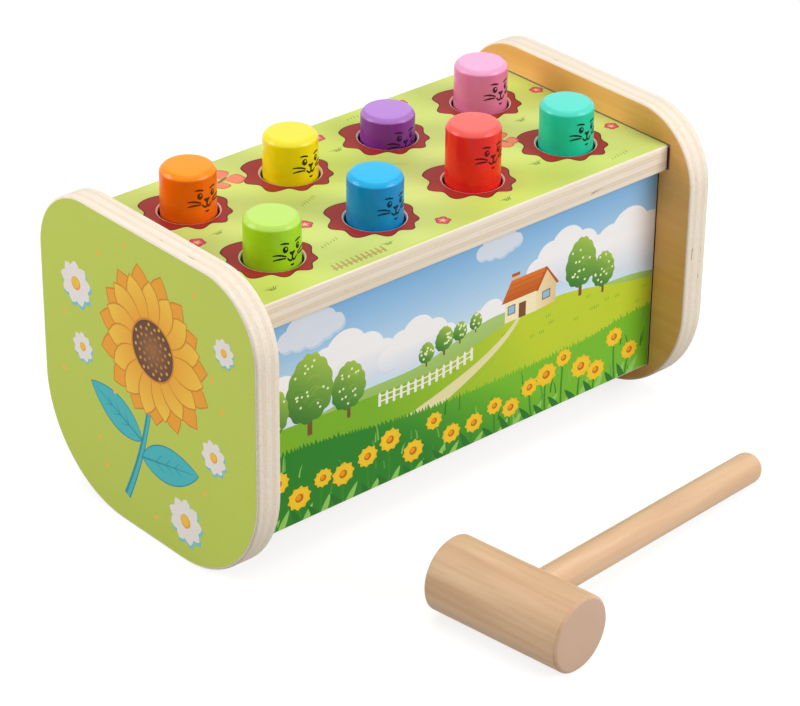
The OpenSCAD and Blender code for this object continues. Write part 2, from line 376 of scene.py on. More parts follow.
def beechWood(name, place, turn, along, endAt, pale, deep):
    look = beechFinish
    material, w = newMaterial(name)
    coords = turnedCoords(w, place, turn)
    figure = fibres(w, coords, along, look["figure"], 2.0)
    streaks = fibres(w, coords, along, look["streak"])
    darts = fibres(w, coords, along, look["dart"], 2.0)
    board = mixed(w, soft(w, figure * 0.78 + streaks * 0.22, 0.32, 0.68), look[pale], look[deep])
    board = mixed(w, soft(w, darts, *look["dartCut"]) * look["dartMark"], board, look["fleck"])
    axes = [k for k in range(3) if k != along]
    heartA, heartB = look["heart"]  # the heart of the tree lies outside the turned piece
    first, second = axisOf(w, coords, axes[0]) + heartA, axisOf(w, coords, axes[1]) + heartB
    wobble = noise(w, coords, look["wobbleScale"], 2.0)
    radius = w.maths("SQRT", first * first + second * second) + (wobble - 0.5) * look["wobble"]
    rings = w.maths("SINE", radius * (fullTurn / look["ring"])) * 0.5 + 0.5
    pores = noise(w, coords, look["poreScale"], 2.0, 0.7)
    ends = mixed(w, soft(w, rings * 0.12 + pores * 0.88, 0.25, 0.8), look["endPale"], look["endDeep"])
    blurFrom, blurTo = look["endBlur"]
    atEnd = soft(w, abs(axisOf(w, coords, along)), endAt - blurFrom, endAt - blurTo)
    height = (streaks * 0.5 + darts * 0.5) * (1 - atEnd) + pores * atEnd * 0.2
    closeSurface(w, look, mixed(w, atEnd, board, ends), streaks, height)
    return material


steelFinish = {
    "pale": (196, 198, 202), "deep": (150, 152, 158), "brush": (0.004, 0.0003), "dullScale": 500.0,
    "rough": 0.405, "spread": 0.25, "bump": (0.15, 0.0001), "shine": 0.5,
}


def zincSteel(name):
    look = steelFinish
    material, w = newMaterial(name)
    coords = objectCoords(w)
    brushed = fibres(w, coords, 2, look["brush"])
    tone = mixed(w, noise(w, coords, look["dullScale"]), look["pale"], look["deep"])
    closeSurface(w, look, tone, brushed, brushed, {"Metallic": 1.0})
    return material


inkFinish = {
    "veil": (0.90, 0.90, 0.88, 1.0), "grain": 0.35,
    "streak": (0.05, 0.0011), "cloudScale": 35.0, "speckScale": 2400.0,
    "rough": 0.42, "spread": 0.15, "bump": (0.06, 0.0002), "shine": 0.15,
}


def inkColour(w):
    settings = {"attribute_type": "GEOMETRY", "attribute_name": "ink"}
    return w.add("ShaderNodeAttribute", settings, None, "Color")


def printInk(name, along):
    look = inkFinish
    material, w = newMaterial(name)
    coords = objectCoords(w)
    streaks = fibres(w, coords, along, look["streak"])
    clouds = noise(w, coords, look["cloudScale"])
    speck = noise(w, coords, look["speckScale"], 1.0)
    shade = soft(w, streaks * 0.5 + clouds * 0.3 + speck * 0.2, 0.3, 0.7)
    tone = mixed(w, look["grain"], inkColour(w), mixed(w, shade, look["veil"], white), "MULTIPLY")
    closeSurface(w, look, tone, clouds, streaks * 0.5 + speck * 0.5)
    return material


lacquerFinish = {  # bevel, cap and rimDrop are depths below the top of a peg, rim is a range of radius; bevel and cap bound the light painted on the top
    "topAt": 0.1513, "bevel": (0.0028, 0.0020), "bevelPaintedLight": 0.7, "cap": (0.0009, 0.0003),
    "rim": (0.0100, 0.0112), "rimDrop": (0.0030, 0.0008), "turnMark": 0.0011, "deepShare": 0.88,
    "scuffScale": 420.0, "scuffCut": (0.50, 0.68), "scuffMark": 0.25, "wornLift": 0.2,
    "mottleScale": 110.0, "grain": (0.03, 0.0008), "coat": 0.22, "coatRough": 0.07,
    "rough": 0.30, "spread": 0.12, "bump": (0.06, 0.0002), "shine": 0.12,
}


# crown is a lighter colour painted on the peg's top and bevel: painted light and sheen, not a second
# lacquer
def lacquer(name, colour, crown, foot):
    look = lacquerFinish
    material, w = newMaterial(name)
    coords = turnedCoords(w, foot, (0.0, 0.0, 0.0))
    x, y, z = (axisOf(w, coords, k) for k in range(3))
    radius = w.maths("SQRT", x * x + y * y)
    mottle = noise(w, coords, look["mottleScale"])
    grain = fibres(w, coords, 2, look["grain"])
    body = paint255(colour)
    deep = tuple(c * look["deepShare"] for c in body[:3]) + (1.0,)
    worn = between(body, white, look["wornLift"])

    def above(depths):
        return soft(w, z, look["topAt"] - depths[0], look["topAt"] - depths[1])

    tone = mixed(w, soft(w, mottle * 0.85 + grain * 0.15, 0.3, 0.7), body, deep)
    paintedTopLight = w.maths("MAXIMUM", above(look["bevel"]) * look["bevelPaintedLight"], above(look["cap"]))
    tone = mixed(w, paintedTopLight, tone, crown)  # painted light: the top, and its bevel in part, take the lighter crown colour as a painted sheen and light from above
    scuffs = soft(w, noise(w, coords, look["scuffScale"]), *look["scuffCut"])
    rim = soft(w, radius, *look["rim"]) * above(look["rimDrop"])
    tone = mixed(w, rim * scuffs * look["scuffMark"], tone, worn)
    turned = w.maths("SINE", (z + radius) * (fullTurn / look["turnMark"]))
    height = turned * 0.15 + mottle * 0.5 + grain * 0.2
    coat = {"Coat Weight": look["coat"], "Coat Roughness": look["coatRough"]}
    closeSurface(w, look, tone, mottle, height, coat)
    return material


# Printed pictures: flat shapes in millimetres

def arc(cx, cy, radius, start, end, count):
    points = []
    for k in range(count + 1):
        a = math.radians(start + (end - start) * k / count)
        points.append((cx + radius * math.cos(a), cy + radius * math.sin(a)))
    return points


def ellipse(x, y, rx, ry, count):
    turns = [fullTurn * k / count for k in range(count)]
    return [(x + rx * math.cos(a), y + ry * math.sin(a)) for a in turns]


def rect(x0, y0, x1, y1):
    return [(x0, y0), (x1, y0), (x1, y1), (x0, y1)]


def leaf(x, y, length, width, turn, fullAt=0.45, count=9):  # a pointed leaf or petal from its root
    c, s = math.cos(turn), math.sin(turn)
    power = math.log(0.5) / math.log(fullAt)
    sides = []
    for k in range(count + 1):
        t = k / count
        sides.append((t * length, 0.5 * width * math.sin(math.pi * t ** power) ** 0.8))
    outline = sides + [(u, -v) for u, v in reversed(sides[1:-1])]
    return [(x + u * c - v * s, y + u * s + v * c) for u, v in outline]


def bend(points, count):  # a smooth path through three points
    (ax, ay), (bx, by), (cx, cy) = points
    px, py = 2 * bx - 0.5 * (ax + cx), 2 * by - 0.5 * (ay + cy)
    path = []
    for k in range(count + 1):
        t = k / count
        path.append(((1 - t) ** 2 * ax + 2 * t * (1 - t) * px + t * t * cx,
                     (1 - t) ** 2 * ay + 2 * t * (1 - t) * py + t * t * cy))
    return path


def stroke(path, start, middle, end):  # a tapering line along a path
    left, right = [], []
    last = len(path) - 1
    for k, (x, y) in enumerate(path):
        ax, ay = path[max(k - 1, 0)]
        bx, by = path[min(k + 1, last)]
        size = math.hypot(bx - ax, by - ay) or 1.0
        nx, ny = -(by - ay) / size, (bx - ax) / size
        t = k / last
        wide = start + (middle - start) * 2 * t if t < 0.5 else middle + (end - middle) * (2 * t - 1)
        left.append((x + nx * wide / 2, y + ny * wide / 2))
        right.append((x - nx * wide / 2, y - ny * wide / 2))
    return left + right[::-1]


def between(first, second, t):
    t = max(0.0, min(1.0, t))
    return tuple(a + (b - a) * t for a, b in zip(first, second))


def ramp(first, second, ax, ay, bx, by):  # a colour that runs from one point to another
    dx, dy = bx - ax, by - ay
    size = dx * dx + dy * dy
    return lambda x, y: between(first, second, ((x - ax) * dx + (y - ay) * dy) / size)


def glow(first, second, cx, cy, radius):
    return lambda x, y: between(first, second, math.hypot(x - cx, y - cy) / radius)


class Drawing(list):  # outlines with their fills, later ones on top
    def put(self, outline, fill):
        self.append((outline, fill))

    def dot(self, x, y, radius, count, fill, squash=1.0):
        self.put(ellipse(x, y, radius, radius * squash, count), fill)

    def line(self, path, widths, fill):
        self.put(stroke(path, *widths), fill)

    def curve(self, points, count, widths, fill):
        self.line(bend(points, count), widths, fill)


def tiled(art, base, outline, holes, spacing):  # triangles, each with the fill of the topmost shape over it
    points, shapes = [], []
    bounds = [outline] if outline else []
    for shape in bounds + [shape for shape, fill in art] + holes:
        area = sum(a[0] * b[1] - b[0] * a[1] for a, b in zip(shape, shape[1:] + shape[:1]))
        start = len(points)
        points.extend(Vector(p) for p in (shape if area > 0 else shape[::-1]))
        shapes.append(list(range(start, len(points))))
    first = len(bounds)
    lastArt = first + len(art)
    lowX, lowY = (min(p[k] for p in points) for k in range(2))
    highX, highY = (max(p[k] for p in points) for k in range(2))
    columns, rows = int((highX - lowX) / spacing) + 1, int((highY - lowY) / spacing) + 1
    for i in range(columns):  # loose points let colours run softly across wide fields
        for j in range(rows):
            shift = 0.5 * spacing * (j % 2)
            x = lowX + 0.31 * spacing + i * spacing + shift
            points.append(Vector((x, lowY + 0.37 * spacing + j * spacing)))
    spots, _, triangles, _, _, owners = delaunay_2d_cdt(points, [], shapes, 1, 1e-5, True)
    kept, fills = [], []
    for triangle, owner in zip(triangles, owners):
        if not owner or (outline and 0 not in owner) or max(owner) >= lastArt:
            continue
        kept.append(triangle)
        fills.append(art[max(owner) - first][1] if max(owner) >= first else base)
    return spots, kept, fills


sheet = {"low": -0.03, "high": 0.05, "under": (0.6, 0.5, 0.4, 1.0)}  # reach off the board, hidden side


def inkMesh(name, art, base, outline, holes, spacing, low, high):  # a thin sheet that carries its ink
    spots, triangles, fills = tiled(art, base, outline, holes, spacing)
    used = sorted({k for triangle in triangles for k in triangle})
    index = {k: i for i, k in enumerate(used)}
    count = len(used)
    verts = [(spots[k][0], spots[k][1], high) for k in used]
    verts += [(x, y, low) for x, y, _ in verts]
    polygons, tones, edges = [], [], {}
    for triangle, fill in zip(triangles, fills):
        corners = [index[k] for k in triangle]
        inks = [paint255(fill(*verts[k][:2]) if callable(fill) else fill) for k in corners]
        polygons.append(corners)
        tones.extend(inks)
        for a, b in ((0, 1), (1, 2), (2, 0)):
            edges[(corners[a], corners[b])] = (inks[a], inks[b])
    for corners in list(polygons):
        polygons.append([k + count for k in reversed(corners)])
        tones.extend([sheet["under"]] * 3)
    for (a, b), (inkA, inkB) in edges.items():
        if (b, a) not in edges:
            polygons.append([b, a, a + count, b + count])
            tones.extend([inkB, inkA, inkA, inkB])
    mesh = bpy.data.meshes.new(name)
    mesh.from_pydata(verts, [], polygons)
    layer = mesh.color_attributes.new("ink", "FLOAT_COLOR", "CORNER")
    layer.data.foreach_set("color", [c for ink in tones for c in ink])
    return mesh


def placing(right, up, origin):  # from a picture's millimetres to the bench
    normal = Vector(right).cross(Vector(up))
    turn = Matrix((right, up, normal)).transposed().to_4x4()
    return Matrix.Translation(Vector(origin) * mm) @ turn @ Matrix.Scale(mm, 4)


def layPrint(name, art, base, outline, holes, spacing, place, slot, material):
    mesh = inkMesh(name, art, base, outline, holes, spacing, sheet["low"], sheet["high"])
    mesh.transform(place)
    mesh.materials.append(material)
    carry(name, mesh, "bench", slot)
    print("print laid:", name, len(mesh.polygons), "faces")


# Boards with rounded edges

def roundedOutline(inset, spec, count=20):
    half, height = spec["width"] / 2, spec["height"]
    foot, crown = spec["footRadius"], spec["crownRadius"]
    points = arc(half - foot, foot, foot - inset, -90, 0, count)
    points += arc(half - crown, height - crown, crown - inset, 0, 90, count)
    points += arc(crown - half, height - crown, crown - inset, 90, 180, count)
    return points + arc(foot - half, foot, foot - inset, 180, 270, count)


def finishMesh(bm, mesh, sharpAt):
    bmesh.ops.recalc_face_normals(bm, faces=bm.faces)
    for face in bm.faces:
        face.smooth = True
    bm.to_mesh(mesh)
    bm.free()
    mesh.set_sharp_from_angle(angle=math.radians(sharpAt))
    return mesh


def capFace(bm, loops):  # fills the first loop and leaves the others open
    flat = [v for loop in loops for v in loop]
    rings, start = [], 0
    for loop in loops:
        rings.append(list(range(start, start + len(loop))))
        start += len(loop)
    edges = [(r[k], r[(k + 1) % len(r)]) for r in rings for k in range(len(r))]
    spots = [Vector((v.co.x, v.co.y)) for v in flat]
    _, _, faces, sources, _, owners = delaunay_2d_cdt(spots, edges, rings, 1, 1e-6, True)
    for face, owner in zip(faces, owners):
        if set(owner) == {0}:
            bm.faces.new([flat[sources[k][0]] for k in face])


def plate(name, spec, outline, holes, low, high, place, groove=None):
    bm = bmesh.new()
    edge, steps = spec["edge"], spec["steps"]
    levels = [(edge + spec["faceRing"], low)]
    for k in range(steps + 1):
        a = 0.5 * math.pi * k / steps
        levels.append((edge * (1 - math.sin(a)), low + edge * (1 - math.cos(a))))
    levels += [(inset, low + high - z) for inset, z in reversed(levels)]
    rims = ([], [])
    for shape in [outline] + holes:
        loops = [[bm.verts.new((x, y, z)) for x, y in shape(inset)] for inset, z in levels]
        for lower, upper in zip(loops, loops[1:]):
            count = len(lower)
            for k in range(count):
                bm.faces.new((lower[k], lower[(k + 1) % count], upper[(k + 1) % count], upper[k]))
        rims[0].append(loops[0])
        rims[1].append(loops[-1])
    if groove:  # cut into one face: its rim joins that face, and its walls go down to a floor
        shape, side, depth = groove
        level = (low, high)[side]
        rim = [bm.verts.new((x, y, level)) for x, y in shape]
        bed = [bm.verts.new((x, y, level + (depth, -depth)[side])) for x, y in shape]
        for k in range(len(rim)):
            bm.faces.new((rim[k - 1], rim[k], bed[k], bed[k - 1]))
        bm.faces.new(bed)
        rims[side].append(rim)
    for loops in rims:
        capFace(bm, loops)
    mesh = finishMesh(bm, bpy.data.meshes.new(name), spec["sharpAt"])
    mesh.transform(place)
    return mesh


# Geometry node trees

def newTree(name, inputs):  # inputs: label, kind and first value
    tree = bpy.data.node_groups.new(name, "GeometryNodeTree")
    tree.interface.new_socket("Geometry", in_out="INPUT", socket_type="NodeSocketGeometry")
    for label, kind, value in inputs + [("Finish", "Material", None)]:
        socket = tree.interface.new_socket(label, in_out="INPUT", socket_type="NodeSocket" + kind)
        if value is not None:
            socket.default_value = value
    tree.interface.new_socket("Geometry", in_out="OUTPUT", socket_type="NodeSocketGeometry")
    w = Wire(tree)
    source = w.add("NodeGroupInput").socket.node
    return w, {socket.name: Wire(tree, socket) for socket in source.outputs if socket.name}


def closeTree(w, geometry, finish):
    geometry = w.add("GeometryNodeRealizeInstances", None, {"Geometry": geometry})
    geometry = w.add("GeometryNodeSetMaterial", None, {"Geometry": geometry, "Material": finish})
    w.add("NodeGroupOutput", None, {0: geometry})
    return w.tree


def pointValue(w, name):
    return w.add("GeometryNodeInputNamedAttribute", {"data_type": "FLOAT"}, {"Name": name})


def latheTree():  # turns a profile, given as a line of points, about the Z axis
    w, given = newTree("turnOnLathe", [("Segments", "Int", 96)])
    profile = given["Geometry"]
    settings = {"component": "MESH"}
    count = w.add("GeometryNodeAttributeDomainSize", settings, {"Geometry": profile}, "Point Count")
    grid = w.add("GeometryNodeMeshGrid", None, {
        "Size X": 1.0, "Size Y": 1.0, "Vertices X": given["Segments"] + 1, "Vertices Y": count,
    })
    spot = w.add("GeometryNodeInputPosition")
    across, along = axisOf(w, spot, 0), axisOf(w, spot, 1)
    row = w.maths("ROUND", (along + 0.5) * (count - 1))
    point = w.add("GeometryNodeSampleIndex", {"data_type": "FLOAT_VECTOR", "domain": "POINT"}, {
        "Geometry": profile, "Value": w.add("GeometryNodeInputPosition"), "Index": row,
    })
    angle = (across + 0.5) * fullTurn
    radius = axisOf(w, point, 0)
    height = axisOf(w, point, 2)
    ring = joined(w, radius * w.maths("COSINE", angle), radius * w.maths("SINE", angle), height)
    turned = w.add("GeometryNodeSetPosition", None, {"Geometry": grid, "Position": ring})
    merged = w.add("GeometryNodeMergeByDistance", None, {"Geometry": turned, "Distance": 1e-6})
    return closeTree(w, merged, given["Finish"])


def stampTree():  # sets a motif on every point, turned and sized by the point's own values
    w, given = newTree("stampMotif", [("Motif", "Object", None), ("Size", "Float", 1.0)])
    settings = {"transform_space": "ORIGINAL"}
    motif = w.add("GeometryNodeObjectInfo", settings, {"Object": given["Motif"]}, "Geometry")
    stamped = w.add("GeometryNodeInstanceOnPoints", None, {
        "Points": w.add("GeometryNodeMeshToPoints", None, {"Mesh": given["Geometry"]}),
        "Instance": motif,
        "Rotation": joined(w, z=pointValue(w, "turn")),
        "Scale": pointValue(w, "size") * given["Size"],
    })
    return closeTree(w, stamped, given["Finish"])


def wrapTree():  # lays a flat drawing round a peg: across becomes the angle, height stays height
    w, given = newTree("wrapOnPeg", [("Radius", "Float", 0.012), ("Turn", "Float", 0.0)])
    spot = w.add("GeometryNodeInputPosition")
    across, up, out = (axisOf(w, spot, k) for k in range(3))
    angle = w.maths("DIVIDE", across, given["Radius"]) + given["Turn"]
    reach = given["Radius"] + out
    wrapped = joined(w, reach * w.maths("SINE", angle), reach * w.maths("COSINE", angle) * -1.0, up)
    moved = w.add("GeometryNodeSetPosition", None, {"Geometry": given["Geometry"], "Position": wrapped})
    return closeTree(w, moved, given["Finish"])


def screwTree():  # a countersunk head with a cross recess, on its shank, set on every point
    w, given = newTree("crossScrews", [
        ("Head", "Float", 0.003), ("Shank", "Float", 0.0015), ("Length", "Float", 0.024),
        ("Slot Length", "Float", 1.15), ("Slot Width", "Float", 0.24),
    ])
    head, shank = given["Head"], given["Shank"]
    headHeight = head - shank
    rest = given["Length"] - headHeight
    cut = w.add("GeometryNodeMeshCone", None, {
        "Vertices": 40, "Radius Top": shank, "Radius Bottom": head, "Depth": headHeight,
    })
    long, slim = head * given["Slot Length"], head * given["Slot Width"]
    for x, y in ((long, slim), (slim, long)):
        bar = w.add("GeometryNodeMeshCube", None, {"Size": joined(w, x, y, headHeight)})
        settings = {"operation": "DIFFERENCE", "solver": "EXACT"}
        cut = w.add("GeometryNodeMeshBoolean", settings, {"Mesh 1": cut, "Mesh 2": bar})
    stem = w.add("GeometryNodeMeshCylinder", None, {"Vertices": 32, "Radius": shank, "Depth": rest})
    lift = joined(w, z=headHeight + rest * 0.5)
    stem = w.add("GeometryNodeTransform", None, {"Geometry": stem, "Translation": lift})
    placed = w.add("GeometryNodeInstanceOnPoints", None, {
        "Points": w.add("GeometryNodeMeshToPoints", None, {"Mesh": given["Geometry"]}),
        "Instance": w.add("GeometryNodeJoinGeometry", None, {0: [cut, stem]}),
        "Rotation": joined(w, z=pointValue(w, "turn")),
    })
    return closeTree(w, placed, given["Finish"])


def pointMesh(name, spots):  # spots: place in metres, turn in radians, size
    mesh = bpy.data.meshes.new(name)
    mesh.from_pydata([spot[0] for spot in spots], [], [])
    for label, k in (("turn", 1), ("size", 2)):
        values = [spot[k] for spot in spots]
        mesh.attributes.new(label, "FLOAT", "POINT").data.foreach_set("value", values)
    return mesh


def grow(name, base, tree, values):  # runs a tree on a base mesh and gives a plain mesh
    seed = addObject(name + ".seed", base)
    modifier = seed.modifiers.new("shape", "NODES")
    modifier.node_group = tree
    for item in tree.interface.items_tree:
        if item.in_out == "INPUT" and item.name in values:
            modifier[item.identifier] = values[item.name]
    graph = bpy.context.evaluated_depsgraph_get()
    grown = seed.evaluated_get(graph)
    mesh = bpy.data.meshes.new_from_object(grown, preserve_all_data_layers=True, depsgraph=graph)
    mesh.name = name
    seed.modifiers.remove(modifier)
    bpy.data.objects.remove(seed)
    return mesh


latheNodes = latheTree()


def turnPiece(name, profile, segments, finish, sharpAt, place, body, slot, node):  # profile: (radius, z)
    base = bpy.data.meshes.new(name + "Profile")
    links = [(k, k + 1) for k in range(len(profile) - 1)]
    base.from_pydata([(r * mm, 0.0, z * mm) for r, z in profile], links, [])
    mesh = grow(name, base, latheNodes, {"Segments": segments, "Finish": finish})
    bm = bmesh.new()
    bm.from_mesh(mesh)
    bmesh.ops.remove_doubles(bm, verts=bm.verts, dist=1e-7)
    bmesh.ops.dissolve_degenerate(bm, edges=bm.edges, dist=1e-8)
    finishMesh(bm, mesh, sharpAt).transform(place)
    carry(name, mesh, body, slot, node)


setCamera()
setFloor()
setLight()
print("camera and stage set")


# Sizes taken from the frame, and what the boards are made of

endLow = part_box("near_end_panel")[0]
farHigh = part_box("far_end_panel")[1]
topLow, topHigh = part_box("top_board")
frontLow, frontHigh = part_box("front_panel")
backLow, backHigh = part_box("back_panel")

endPanel = {  # the darker zone on the groove's walls: half width, foot and top in metres; partly burn, partly painted shade
    "width": 145.0, "height": 144.0, "crownRadius": 32.0, "footRadius": 52.0,
    "edge": 1.3, "steps": 5, "faceRing": 0.4, "sharpAt": 40,
    "grooveDepth": 2.0, "grooveAbove": 0.5, "grooveBeside": 1.0, "groovePanel": 0.7,
    "plies": (0.195, 0.062), "plyContrast": 0.65, "burntAndShaded": (0.057, 0.0175, 0.128),
}
topBoard = {
    "rows": (-27.5, 27.5), "columns": (-82.5, -27.5, 27.5, 82.5), "holeRadius": 13.0, "holeSteps": 64,
    "edge": 0.7, "steps": 4, "faceRing": 0.4, "sharpAt": 40, "corner": 1.2, "cornerSteps": 4,
    "printHole": 13.8, "printInset": 0.8, "printEnd": 0.35,
    # the holes' walls below the top are painted darker: partly burn, partly painted shade
    "plies": (0.195, 0.075), "burntAndShaded": (0.043, topLow.z - 0.001, topHigh.z - 0.0009),
}
thinPlies = (0.0, 0.17)
holeSpots = [(x, y) for y in topBoard["rows"] for x in topBoard["columns"]]

plyEndMat = plyWood("plyEnd", "far_end_panel", 0, 1, endPanel["plies"], True, True,
                    endPanel["plyContrast"], endPanel["burntAndShaded"])
plyTopMat = plyWood("plyTop", "top_board", 2, 0, topBoard["plies"], cut=topBoard["burntAndShaded"])
plySideMat = plyWood("plySide", "back_panel", 1, 0, thinPlies, True)
plyBottomMat = plyWood("plyBottom", "bottom_board", 2, 0, thinPlies)
plyGuideMat = plyWood("plyGuide", "guide_board", 2, 0, thinPlies)
postMat = plainWood("postWood", 2)
rockerMat = plainWood("rockerWood", 1)
dowelMat = plainWood("dowelWood", 0)
steelMat = zincSteel("zincSteel")
inkTopMat = printInk("inkTop", 0)
inkSideMat = printInk("inkSide", 0)
inkEndMat = printInk("inkEnd", 1)

dress(["front_panel", "back_panel"], plySideMat)
dress(["bottom_board"], plyBottomMat)
dress(["guide_board"], plyGuideMat)
dress(["corner_posts"], postMat)
dress(["rocker_1", "rocker_2", "rocker_3", "rocker_4"], rockerMat)
dress(["axle_spacers", "top_dowels"], dowelMat)
dress(["rocker_axle"], steelMat)
print("finishes made")


# End panels and top board

def boardOutline(insetX, insetY):
    halfX, halfY = topHigh.x / mm - insetX, topHigh.y / mm - insetY
    corner = topBoard["corner"]
    spec = {"width": 2 * halfX, "height": 2 * halfY, "footRadius": corner, "crownRadius": corner}
    return [(x, y - halfY) for x, y in roundedOutline(0.0, spec, topBoard["cornerSteps"])]


def grooveOutline():  # a little wider than the ends of the top board and side panels that stand in it
    wide = topHigh.y / mm + endPanel["grooveBeside"]
    outer = backHigh.y / mm + endPanel["groovePanel"]
    inner = backLow.y / mm - endPanel["groovePanel"]
    foot = backLow.z / mm - endPanel["groovePanel"]
    under = topLow.z / mm - endPanel["grooveAbove"]
    top = topHigh.z / mm + endPanel["grooveAbove"]
    half = [(inner, under), (inner, foot), (outer, foot), (outer, under), (wide, under), (wide, top)]
    return half + [(-x, y) for x, y in reversed(half)]


def holeOutline(spot, radius):
    return ellipse(*spot, radius, radius, topBoard["holeSteps"])


def makePanels():
    upright = placing((0, -1, 0), (0, 0, 1), (0, 0, 0))
    level = placing((1, 0, 0), (0, 1, 0), (0, 0, 0))

    def panel(inset):
        return roundedOutline(inset, endPanel)

    def board(inset):
        return boardOutline(inset, inset)

    def hole(spot):
        return lambda inset: holeOutline(spot, topBoard["holeRadius"] + inset)

    for name, node, inner in (("nearEndPanel", "near_end_panel", 0), ("farEndPanel", "far_end_panel", 1)):
        low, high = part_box(node)
        groove = (grooveOutline(), inner, endPanel["grooveDepth"])
        mesh = plate(name, endPanel, panel, [], -high.x / mm, -low.x / mm, upright, groove)
        mesh.materials.append(plyEndMat)
        carry(name, mesh, "bench", "bare_ply", node)
    holes = [hole(spot) for spot in holeSpots]
    mesh = plate("topBoard", topBoard, board, holes, topLow.z / mm, topHigh.z / mm, level)
    mesh.materials.append(plyTopMat)
    carry("topBoard", mesh, "bench", "bare_ply", "top_board")


makePanels()
print("panels and top board made")


# Print on the end panels: one big sunflower with daisies on green

endPrint = {
    "ground": (196, 209, 89), "groundDeep": (190, 204, 83),
    "groundRun": (-20, 0, 20, 144),  # from point to point
    "petal": (246, 202, 74), "petalDeep": (240, 164, 52), "petalLine": (212, 138, 40),
    "disc": (98, 62, 42), "discPale": (158, 104, 58), "leaf": (72, 184, 190), "leafDeep": (42, 142, 152),
    "white": (238, 230, 224), "whiteShade": (126, 196, 198), "heart": (244, 196, 70),
    "spark": (240, 186, 84),
    "inset": 1.25, "spacing": 6.0,
    "sunflower": (5.0, 93.0, 36.0), "petals": 15, "seeds": 46, "daisyPetals": 9,  # place and radius
    "stem": [(4.0, 84.0), (-2.0, 50.0), (-16.0, 14.0)],
    "leaves": [(-4.0, 46.0, 38.0, 17.0, 158), (-5.0, 38.0, 40.0, 18.0, 12)],  # root, length, width, turn
    "daisies": [  # place, radius, turn
        (-47.0, 103.0, 10.5, 0.2), (44.0, 60.0, 8.0, 0.5), (-44.0, 74.0, 7.0, 0.9), (24.0, 20.0, 11.0, 0.1),
        (52.0, 112.0, 6.5, 0.3),
    ],
    "sparks": [
        (-30, 124), (-56, 86), (-22, 62), (38, 40), (50, 84), (-34, 34), (4, 12), (-58, 58), (34, 130),
        (44, 96), (-12, 134), (-30, 22),
    ],
}


def sunflower(art, x, y, radius):
    tones, petals, seeds = endPrint, endPrint["petals"], endPrint["seeds"]
    for ring, (reach, wide, key) in enumerate(((1.0, 0.36, "petalDeep"), (0.88, 0.33, "petal"))):
        for k in range(petals):
            turn = fullTurn * (k + 0.5 * ring) / petals + 0.13
            length = radius * reach * (1.0 + 0.04 * math.sin(5.0 * k + ring))
            rim = leaf(x, y, length + radius * 0.022, radius * wide + radius * 0.04, turn, 0.66)
            art.put(rim, tones["petalLine"])
            tipX, tipY = x + length * math.cos(turn), y + length * math.sin(turn)
            startX, startY = x + 0.35 * (tipX - x), y + 0.35 * (tipY - y)
            shade = ramp(tones["petalDeep"], tones[key], startX, startY, tipX, tipY)
            art.put(leaf(x, y, length, radius * wide, turn, 0.66), shade)
    art.dot(x, y, radius * 0.40, 40, tones["petalLine"])
    art.dot(x, y, radius * 0.375, 40, glow(tones["discPale"], tones["disc"], x, y, radius * 0.36))
    for k in range(seeds):
        reach = radius * 0.345 * math.sqrt((k + 0.5) / seeds)
        turn = k * goldenTurn
        tone = between(tones["discPale"], tones["heart"], k / seeds * 0.8)
        art.dot(x + reach * math.cos(turn), y + reach * math.sin(turn), radius * 0.022, 8, tone)


def daisy(art, x, y, radius, turn):
    tones, petals = endPrint, endPrint["daisyPetals"]
    for dx, dy, key, grown in ((0.07, -0.11, "whiteShade", 1.04), (0.0, 0.0, "white", 1.0)):
        for k in range(petals):
            a = turn + fullTurn * k / petals
            petal = leaf(x + dx * radius, y + dy * radius, radius * grown, radius * 0.56, a, 0.66, 8)
            art.put(petal, tones[key])
    art.dot(x, y, radius * 0.30, 20, tones["petalDeep"])
    art.dot(x - 0.02 * radius, y + 0.03 * radius, radius * 0.24, 20, tones["heart"])


def ray(x, y, length, turn, shares):  # points on a straight line from its root
    c, s = math.cos(turn), math.sin(turn)
    return [(x + share * length * c, y + share * length * s) for share in shares]


def veinedLeaf(art, x, y, length, width, turn):
    tones = endPrint
    art.put(leaf(x, y, length, width, turn, 0.45, 14), tones["leafDeep"])
    startX, startY = x + 0.6 * math.cos(turn), y + 0.6 * math.sin(turn)
    art.put(leaf(startX, startY, length - 1.4, width - 1.3, turn, 0.45, 14), tones["leaf"])
    art.line(ray(x, y, length, turn, (0.0, 0.45, 0.9)), (0.9, 0.7, 0.25), tones["leafDeep"])
    veins = (0.25, 0.42, 0.58)
    for share, (rootX, rootY) in zip(veins, ray(x, y, length, turn, veins)):
        for side in (-0.65, 0.65):
            reach = width * 0.36 * (1.15 - share * 0.6)
            path = ray(rootX, rootY, reach, turn + side, (0.0, 0.5, 1.0))
            art.line(path, (0.5, 0.4, 0.2), tones["leafDeep"])


def endPicture():
    tones = endPrint
    art = Drawing()
    stem = bend(tones["stem"], 18)
    art.line(stem, (2.6, 3.2, 4.2), tones["leafDeep"])
    art.line([(x + 0.35, y) for x, y in stem], (1.2, 1.5, 2.0), tones["leaf"])
    for x, y, length, width, turn in tones["leaves"]:
        veinedLeaf(art, x, y, length, width, math.radians(turn))
    sunflower(art, *tones["sunflower"])
    for spot in tones["daisies"]:
        daisy(art, *spot)
    for x, y in tones["sparks"]:
        art.put(leaf(x - 1.6, y, 3.2, 2.0, 0.3, 0.5, 4), tones["spark"])
        art.put(leaf(x, y - 1.6, 3.2, 2.0, 0.3 + math.pi / 2, 0.5, 4), tones["spark"])
    return art


